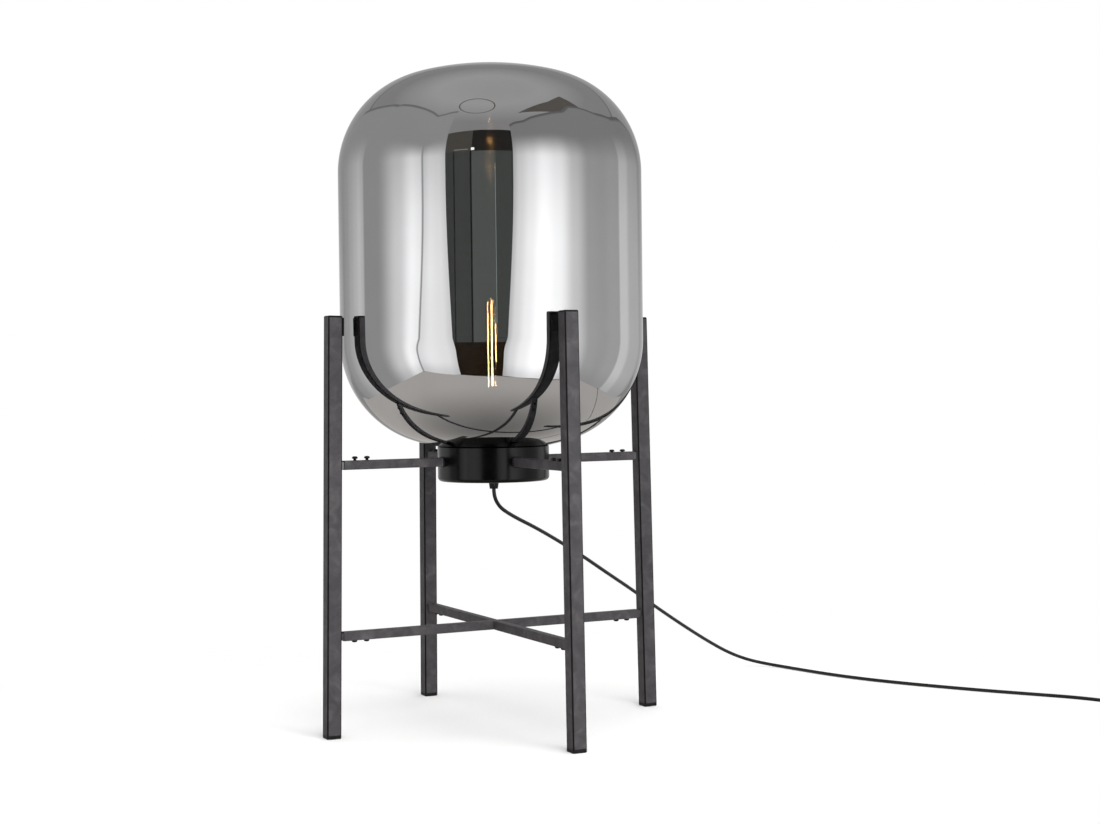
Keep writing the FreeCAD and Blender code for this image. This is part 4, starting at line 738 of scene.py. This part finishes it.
# The rolled thread of an E27 cap, and of the brass shell that it screws into.
thread = {
    "pitch": 0.0036,
    "turns": 3.6,
    "steps": 24,
    "capRadius": 0.0131,
    "capLow": 0.4082,
    "capBead": 0.00055,
    "shellRadius": 0.0144,
    "shellUp": 0.004,
    "shellBead": 0.0006,
}


def helix(radius, low):
    points = []
    for step in range(int(thread["turns"] * thread["steps"]) + 1):
        turn = step / thread["steps"]
        angle = 2 * math.pi * turn
        points.append(Vector((radius * math.cos(angle), radius * math.sin(angle),
                              low + thread["pitch"] * turn)))
    return points


def makeThreads():
    cap = makeTube("capThread", [helix(thread["capRadius"], thread["capLow"])], thread["capBead"],
                   finish("nickelPlate"))
    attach(cap, "bulb")
    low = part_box("screw_shell")[0][2] + thread["shellUp"]
    shell = makeTube("shellThread", [helix(thread["shellRadius"], low)], thread["shellBead"],
                     finish("rolledBrass"))
    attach(shell, "frame")


# The studio that the globe mirrors: white walls on both sides with a gap in front for the
# camera, the unlit end of the room behind it, and white paper. Places are metres towards
# the camera, then metres to its right.
studio = {
    "toCamera": Vector((-0.4199, -0.9076, 0)),
    "toRight": Vector((0.9076, -0.4199, 0)),
    # Posts of a wall: its place at the floor, its place at the top, height, light.
    "walls": {
        "leftWall": [
            (-1.6, -1.2, -1.6, -1.2, 1.5, 0.55), (-1.0, -0.9, -1.0, -0.9, 1.5, 0.6),
            (-0.62, -0.83, -0.62, -0.83, 1.5, 0.72), (-0.42, -0.82, -0.42, -0.82, 1.55, 0.9),
            (-0.3, -0.82, -0.3, -0.82, 1.6, 1.05), (-0.2, -0.82, -0.2, -0.82, 1.65, 1.2),
            (-0.13, -0.82, -0.13, -0.82, 1.65, 1.05), (-0.09, -0.82, -0.09, -0.82, 1.7, 0.6),
            (0.11, -0.82, 0.11, -0.82, 1.8, 0.6), (0.38, -0.82, 0.4, -0.82, 1.9, 1.5),
            (0.52, -0.82, 0.61, -0.82, 1.95, 2.35), (0.61, -0.82, 0.75, -0.82, 1.95, 2.15),
            (0.64, -0.82, 0.785, -0.82, 1.95, 0.6), (0.65, -0.8, 0.79, -0.79, 1.95, 1.75),
            (0.69, -0.62, 0.775, -0.66, 1.9, 2.0), (0.73, -0.42, 0.77, -0.52, 1.9, 1.85),
            (0.76, -0.33, 0.76, -0.42, 1.85, 1.5)],
        "rightWall": [
            (0.76, 0.1, 0.76, 0.2, 1.3, 1.2), (0.74, 0.16, 0.735, 0.25, 1.35, 1.75),
            (0.7, 0.24, 0.69, 0.34, 1.38, 2.25), (0.64, 0.36, 0.62, 0.42, 1.45, 2.8),
            (0.55, 0.5, 0.53, 0.52, 1.5, 2.4), (0.44, 0.64, 0.43, 0.65, 1.58, 1.4),
            (0.3, 0.79, 0.3, 0.79, 1.65, 0.8), (0.12, 0.8, 0.12, 0.8, 1.7, 0.75),
            (0.0, 0.8, 0.0, 0.8, 1.6, 0.8), (-0.12, 0.8, -0.12, 0.8, 1.45, 0.8),
            (-0.16, 0.8, -0.16, 0.8, 1.4, 1.3), (-0.28, 0.8, -0.28, 0.8, 1.35, 1.3),
            (-0.4, 0.8, -0.4, 0.8, 1.3, 1.0), (-0.74, 0.8, -0.74, 0.8, 1.3, 0.95),
            (-1.6, 1.1, -1.6, 1.1, 1.3, 0.7)],
        "backdrop": [
            (-2.4, 2.8, -2.4, 2.8, 2.8, 0.7), (-2.9, 1.2, -2.9, 1.2, 2.8, 0.75),
            (-3.0, 0.0, -3.0, 0.0, 2.8, 0.8), (-2.9, -1.2, -2.9, -1.2, 2.8, 0.75),
            (-2.4, -2.8, -2.4, -2.8, 2.8, 0.7)],
    },
    "unlit": {"leftWall": 0.58, "rightWall": 0.44, "backdrop": 0.58},
    "lightsLamp": {"leftWall": False, "rightWall": True, "backdrop": True},
    "between": 6,
    "rows": 40,
    "leanFrom": 0.35,
    "leanOver": 0.45,
    "fadeFrom": 0.66,
    "fadeOver": 0.46,
    "footShade": 0.35,
    "footHeight": 0.25,
    "edgeShade": 0.55,
    # The end wall's panels: metres to the right, light.
    "panels": [(-4.0, 0.12), (-1.78, 0.12), (-1.76, 0.02), (-1.72, 0.02), (-1.7, 0.12),
               (-0.92, 0.15), (-0.9, 0.02), (-0.84, 0.02), (-0.82, 0.22), (0.2, 0.24),
               (0.26, 0.17), (0.98, 0.14), (4.0, 0.1)],
    "endWall": 3.6,
    "panelFoot": 0.3,
    "panelTop": 1.5,
    "lintelTop": 3.2,
    "lintelLight": {"left": 0.16, "right": 0.04, "until": -0.8},
    "skirtingLight": 0.03,
    "tints": {"panel": "#e4ebe4", "lintel": "#f0e8d8", "skirting": "#ffd8b0"},
    # Things in the room: towards the camera, left, right, low, high, light, tint.
    "fittings": {
        "roomLamp": (3.58, -0.85, -0.7, 1.56, 1.74, 2.6, "#ffffff"),
        "rail": (3.58, -1.72, -1.0, 1.6, 1.66, 0.5, "#ffffff"),
        "stand": (2.0, 0.122, 0.132, 0.52, 0.98, 0.8, "#dcf4f0"),
        "cable": (2.4, -0.03, 0.36, 0.515, 0.525, 0.01, "#ffffff"),
    },
    # Level sheets: corners, height, light, tint.
    "flats": {
        "darkFloor": ([(0.7, -3.5), (3.6, -3.5), (3.6, 3.5), (0.7, 3.5)], 0.0003, 0.03, "#ffc890"),
        "ceilingFlag": ([(1.2, 0.62), (0.3, 0.98), (-0.15, 1.04), (-0.3, 1.9), (0.5, 1.5)], 2.4,
                        0.2, "#fff4e8"),
    },
    "ring": {"radii": (0.325, 0.35), "place": (0.95, -0.23, 2.4), "segments": 48, "light": 0.22,
             "tint": "#fff0dc"},
    "paper": {"edge": [(-1.3, -0.95), (-0.8, -0.84), (0.6, -0.82), (0.68, -0.76), (0.76, -0.285),
                       (0.76, 0.07), (0.7, 0.24), (0.3, 0.79), (-0.6, 0.8), (-1.3, 0.9)],
              "height": 0.0006, "between": 6, "rows": 10, "reach": 0.62, "light": 0.84,
              "shade": 0.3, "tint": "#fffaf4"},
}


def inStudio(forward, sideways, height):
    return studio["toCamera"] * forward + studio["toRight"] * sideways + Vector((0, 0, height))


# Light of the strength in each vertex's glow.
def glowing(name, form, tint, diffuse=False):
    material, tree = newMaterial(name)
    glow = addNode(tree, "Attribute", attribute_name="glow")
    light = addNode(tree, "Emission", {"Color": linear(tint), "Strength": glow.outputs["Fac"]})
    addNode(tree, "OutputMaterial", {"Surface": light})
    thing = meshObject(name, form, material)
    # It shows in reflections and never stands in a view.
    thing.visible_camera = False
    thing.visible_shadow = False
    thing.visible_diffuse = diffuse


# An upright sheet along its posts, lit up to the height of a softbox.
def makeWall(name):
    posts = studio["walls"][name]
    unlit = studio["unlit"][name]
    rows = studio["rows"]
    columns = []
    for before, after in zip(posts, posts[1:]):
        for step in range(studio["between"]):
            share = step / studio["between"]
            column = [low + (high - low) * share for low, high in zip(before, after)]
            column[5] = before[5] + (after[5] - before[5]) * eased(share)
            columns.append(column)
    columns.append(list(posts[-1]))
    form = bmesh.new()
    glow = form.verts.layers.float.new("glow")
    bmesh.ops.create_grid(form, x_segments=len(columns) - 1, y_segments=rows, size=0.5)
    for vert in form.verts:
        forward, sideways, topForward, topSideways, top, level = columns[
            round((vert.co.x + 0.5) * (len(columns) - 1))]
        row = round((vert.co.y + 0.5) * rows)
        height = top * row / rows
        lean = eased((height - studio["leanFrom"]) / studio["leanOver"])
        vert.co = inStudio(forward + (topForward - forward) * lean,
                           sideways + (topSideways - sideways) * lean, height)
        lit = 1 - eased((height - studio["fadeFrom"]) / studio["fadeOver"])
        lit -= studio["footShade"] * (1 - eased(height / studio["footHeight"]))
        vert[glow] = (unlit + (level - unlit) * lit) * (studio["edgeShade"] if row > rows - 2 else 1)
    glowing(name, form, "#ffffff", studio["lightsLamp"][name])


# A flat sheet with the corners given.
def makeSheet(name, corners, level, tint):
    form = bmesh.new()
    glow = form.verts.layers.float.new("glow")
    bmesh.ops.create_circle(form, cap_ends=True, segments=len(corners), radius=1)
    for face in form.faces:
        for vert, corner in zip(face.verts, corners):
            vert.co = inStudio(*corner)
            vert[glow] = level
    glowing(name, form, tint)


def makePatch(name, forward, left, right, low, high, level, tint):
    makeSheet(name, [(forward, left, low), (forward, right, low), (forward, right, high),
                     (forward, left, high)], level, tint)


# Panels, a dark lintel above and skirting below them, and what stands in front.
def makeRoom():
    end, foot, top = studio["endWall"], studio["panelFoot"], studio["panelTop"]
    tints, lintel, panels = studio["tints"], studio["lintelLight"], studio["panels"]
    for number, ((left, level), (right, after)) in enumerate(zip(panels, panels[1:])):
        above = lintel["left"] if right < lintel["until"] else lintel["right"]
        makePatch("panel%d" % number, end, left, right, foot, top, (level + after) / 2, tints["panel"])
        makePatch("lintel%d" % number, end, left, right, top, studio["lintelTop"], above,
                  tints["lintel"])
        makePatch("skirting%d" % number, end, left, right, 0.0, foot, studio["skirtingLight"],
                  tints["skirting"])
    for name, values in studio["fittings"].items():
        makePatch(name, *values)


# A round ceiling fitting, of which the globe shows the rim.
def makeCeilingRing():
    ring = studio["ring"]
    form = bmesh.new()
    glow = form.verts.layers.float.new("glow")
    for radius in ring["radii"]:
        bmesh.ops.create_circle(form, segments=ring["segments"], radius=radius)
    bmesh.ops.bridge_loops(form, edges=form.edges)
    bmesh.ops.translate(form, verts=form.verts, vec=inStudio(*ring["place"]))
    for vert in form.verts:
        vert[glow] = ring["light"]
    glowing("ceilingRing", form, ring["tint"])


# The paper as the globe mirrors it: lit away from the lamp, shaded under it. A grid is
# wrapped round the lamp's axis and closed there.
def makePaperMirrored():
    paper = studio["paper"]
    corners = paper["edge"]
    edge = []
    for before, after in zip(corners, corners[1:] + corners[:1]):
        for step in range(paper["between"]):
            share = step / paper["between"]
            edge.append([low + (high - low) * share for low, high in zip(before, after)])
    rows = paper["rows"]
    form = bmesh.new()
    glow = form.verts.layers.float.new("glow")
    bmesh.ops.create_grid(form, x_segments=len(edge), y_segments=rows, size=0.5)
    for vert in form.verts:
        forward, sideways = edge[round((vert.co.x + 0.5) * len(edge)) % len(edge)]
        share = round((vert.co.y + 0.5) * rows) / rows
        vert.co = inStudio(forward * share, sideways * share, paper["height"])
        lit = eased(vert.co.length / paper["reach"])
        vert[glow] = paper["shade"] + (paper["light"] - paper["shade"]) * lit
    bmesh.ops.remove_doubles(form, verts=form.verts, dist=1e-6)
    glowing("paperMirrored", form, paper["tint"])


# Seamless paper: matt white near the lamp. Further out it is lit from behind and runs out
# white. Its fibre is finer than a pixel.
floor = {"half": 40, "tones": [(0.3, "#f1f1f1"), (0.7, "#f5f5f5")], "fibreMm": 2.5, "roughness": 0.9,
         "specular": 0.1, "mattTo": 0.45, "whiteFrom": 0.84}


def makeFloor():
    form = bmesh.new()
    bmesh.ops.create_grid(form, x_segments=1, y_segments=1, size=floor["half"])
    material, tree = newMaterial("seamlessPaper")
    place = addNode(tree, "TexCoord").outputs["Object"]
    distance = addNode(tree, "VectorMath", {0: place}, operation="LENGTH")
    away = addNode(tree, "MapRange", {"Value": distance.outputs["Value"], "From Min": floor["mattTo"],
                                      "From Max": floor["whiteFrom"]},
                   interpolation_type="SMOOTHSTEP")
    fibre = addNode(tree, "TexNoise", {"Vector": place, "Scale": 1000 / floor["fibreMm"], "Detail": 2})
    tone = addNode(tree, "ValToRGB", {"Fac": fibre}, stops=floor["tones"])
    matt = addNode(tree, "BsdfPrincipled", {"Base Color": tone, "Roughness": floor["roughness"],
                                            "Specular IOR Level": floor["specular"]})
    lit = addNode(tree, "Emission", {"Color": linear("#ffffff"), "Strength": 1.0})
    mixed = addNode(tree, "MixShader", {0: away, 1: matt, 2: lit})
    addNode(tree, "OutputMaterial", {"Surface": mixed})
    thing = meshObject("floor", form, material)
    thing.visible_glossy = False


# White where the camera sees it, and a dimmer ceiling in reflections, by height.
sky = {"seen": "#ffffff", "mirrored": [(0.35, "#bcbab9"), (0.7, "#bcbab9"), (0.92, "#dfdede"),
                                       (1.0, "#dad8d8")]}


def makeWorld():
    world = bpy.data.worlds.new("Studio")
    world.use_nodes = True
    scene.world = world
    tree = world.node_tree
    tree.nodes.clear()
    seen = addNode(tree, "LightPath").outputs["Is Camera Ray"]
    height = addNode(tree, "SeparateXYZ", {"Vector": addNode(tree, "TexCoord").outputs["Generated"]})
    shade = addNode(tree, "ValToRGB", {"Fac": height.outputs["Z"]}, stops=sky["mirrored"])
    ceiling = addNode(tree, "Background", {"Color": shade})
    white = addNode(tree, "Background", {"Color": linear(sky["seen"])})
    mixed = addNode(tree, "MixShader", {0: seen, 1: ceiling, 2: white})
    addNode(tree, "OutputWorld", {"Surface": mixed})


# Large soft lamps that the glass doesn't show.
lamps = {
    "overhead": {"place": (0, 0, 2.9), "aim": (0, 0, 0), "size": (3.0, 3.0), "watts": 46},
    "frontRight": {"place": inStudio(2.0, 0.95, 1.0), "aim": (0, 0, 0.3), "size": (2.0, 1.6),
                   "watts": 74},
}


def makeLamps():
    for name, values in lamps.items():
        data = bpy.data.lights.new(name, "AREA")
        data.shape = "RECTANGLE"
        data.size, data.size_y = values["size"]
        data.energy = values["watts"]
        light = bpy.data.objects.new(name, data)
        scene.collection.objects.link(light)
        light.location = values["place"]
        facing = Vector(values["aim"]) - Vector(values["place"])
        light.rotation_euler = facing.to_track_quat("-Z", "Y").to_euler()
        light.visible_camera = False
        light.visible_glossy = False
        light.visible_transmission = False


# The globe's two faces and the bulb's glass need many bounces in a row.
bounces = {"max_bounces": 16, "glossy_bounces": 12, "transmission_bounces": 14}


def makeStudio():
    makeFloor()
    for name in studio["walls"]:
        makeWall(name)
    makeRoom()
    makeCeilingRing()
    makePaperMirrored()
    for name, (corners, height, level, tint) in studio["flats"].items():
        makeSheet(name, [(forward, sideways, height) for forward, sideways in corners], level, tint)
    makeWorld()
    makeLamps()
    for name, count in bounces.items():
        setattr(scene.cycles, name, count)
    scene.cycles.sample_clamp_indirect = 0  # keeps the filament's glints
    print("studio made")


makeCamera()
makeCord()
makeGlobe()
makeBulb()
paintFrame()
for name in screwRows:
    makeScrews(name)
makeWelds()
makeTongues()
makeThreads()
print("small parts made")
makeStudio()

bpy.context.view_layer.update()
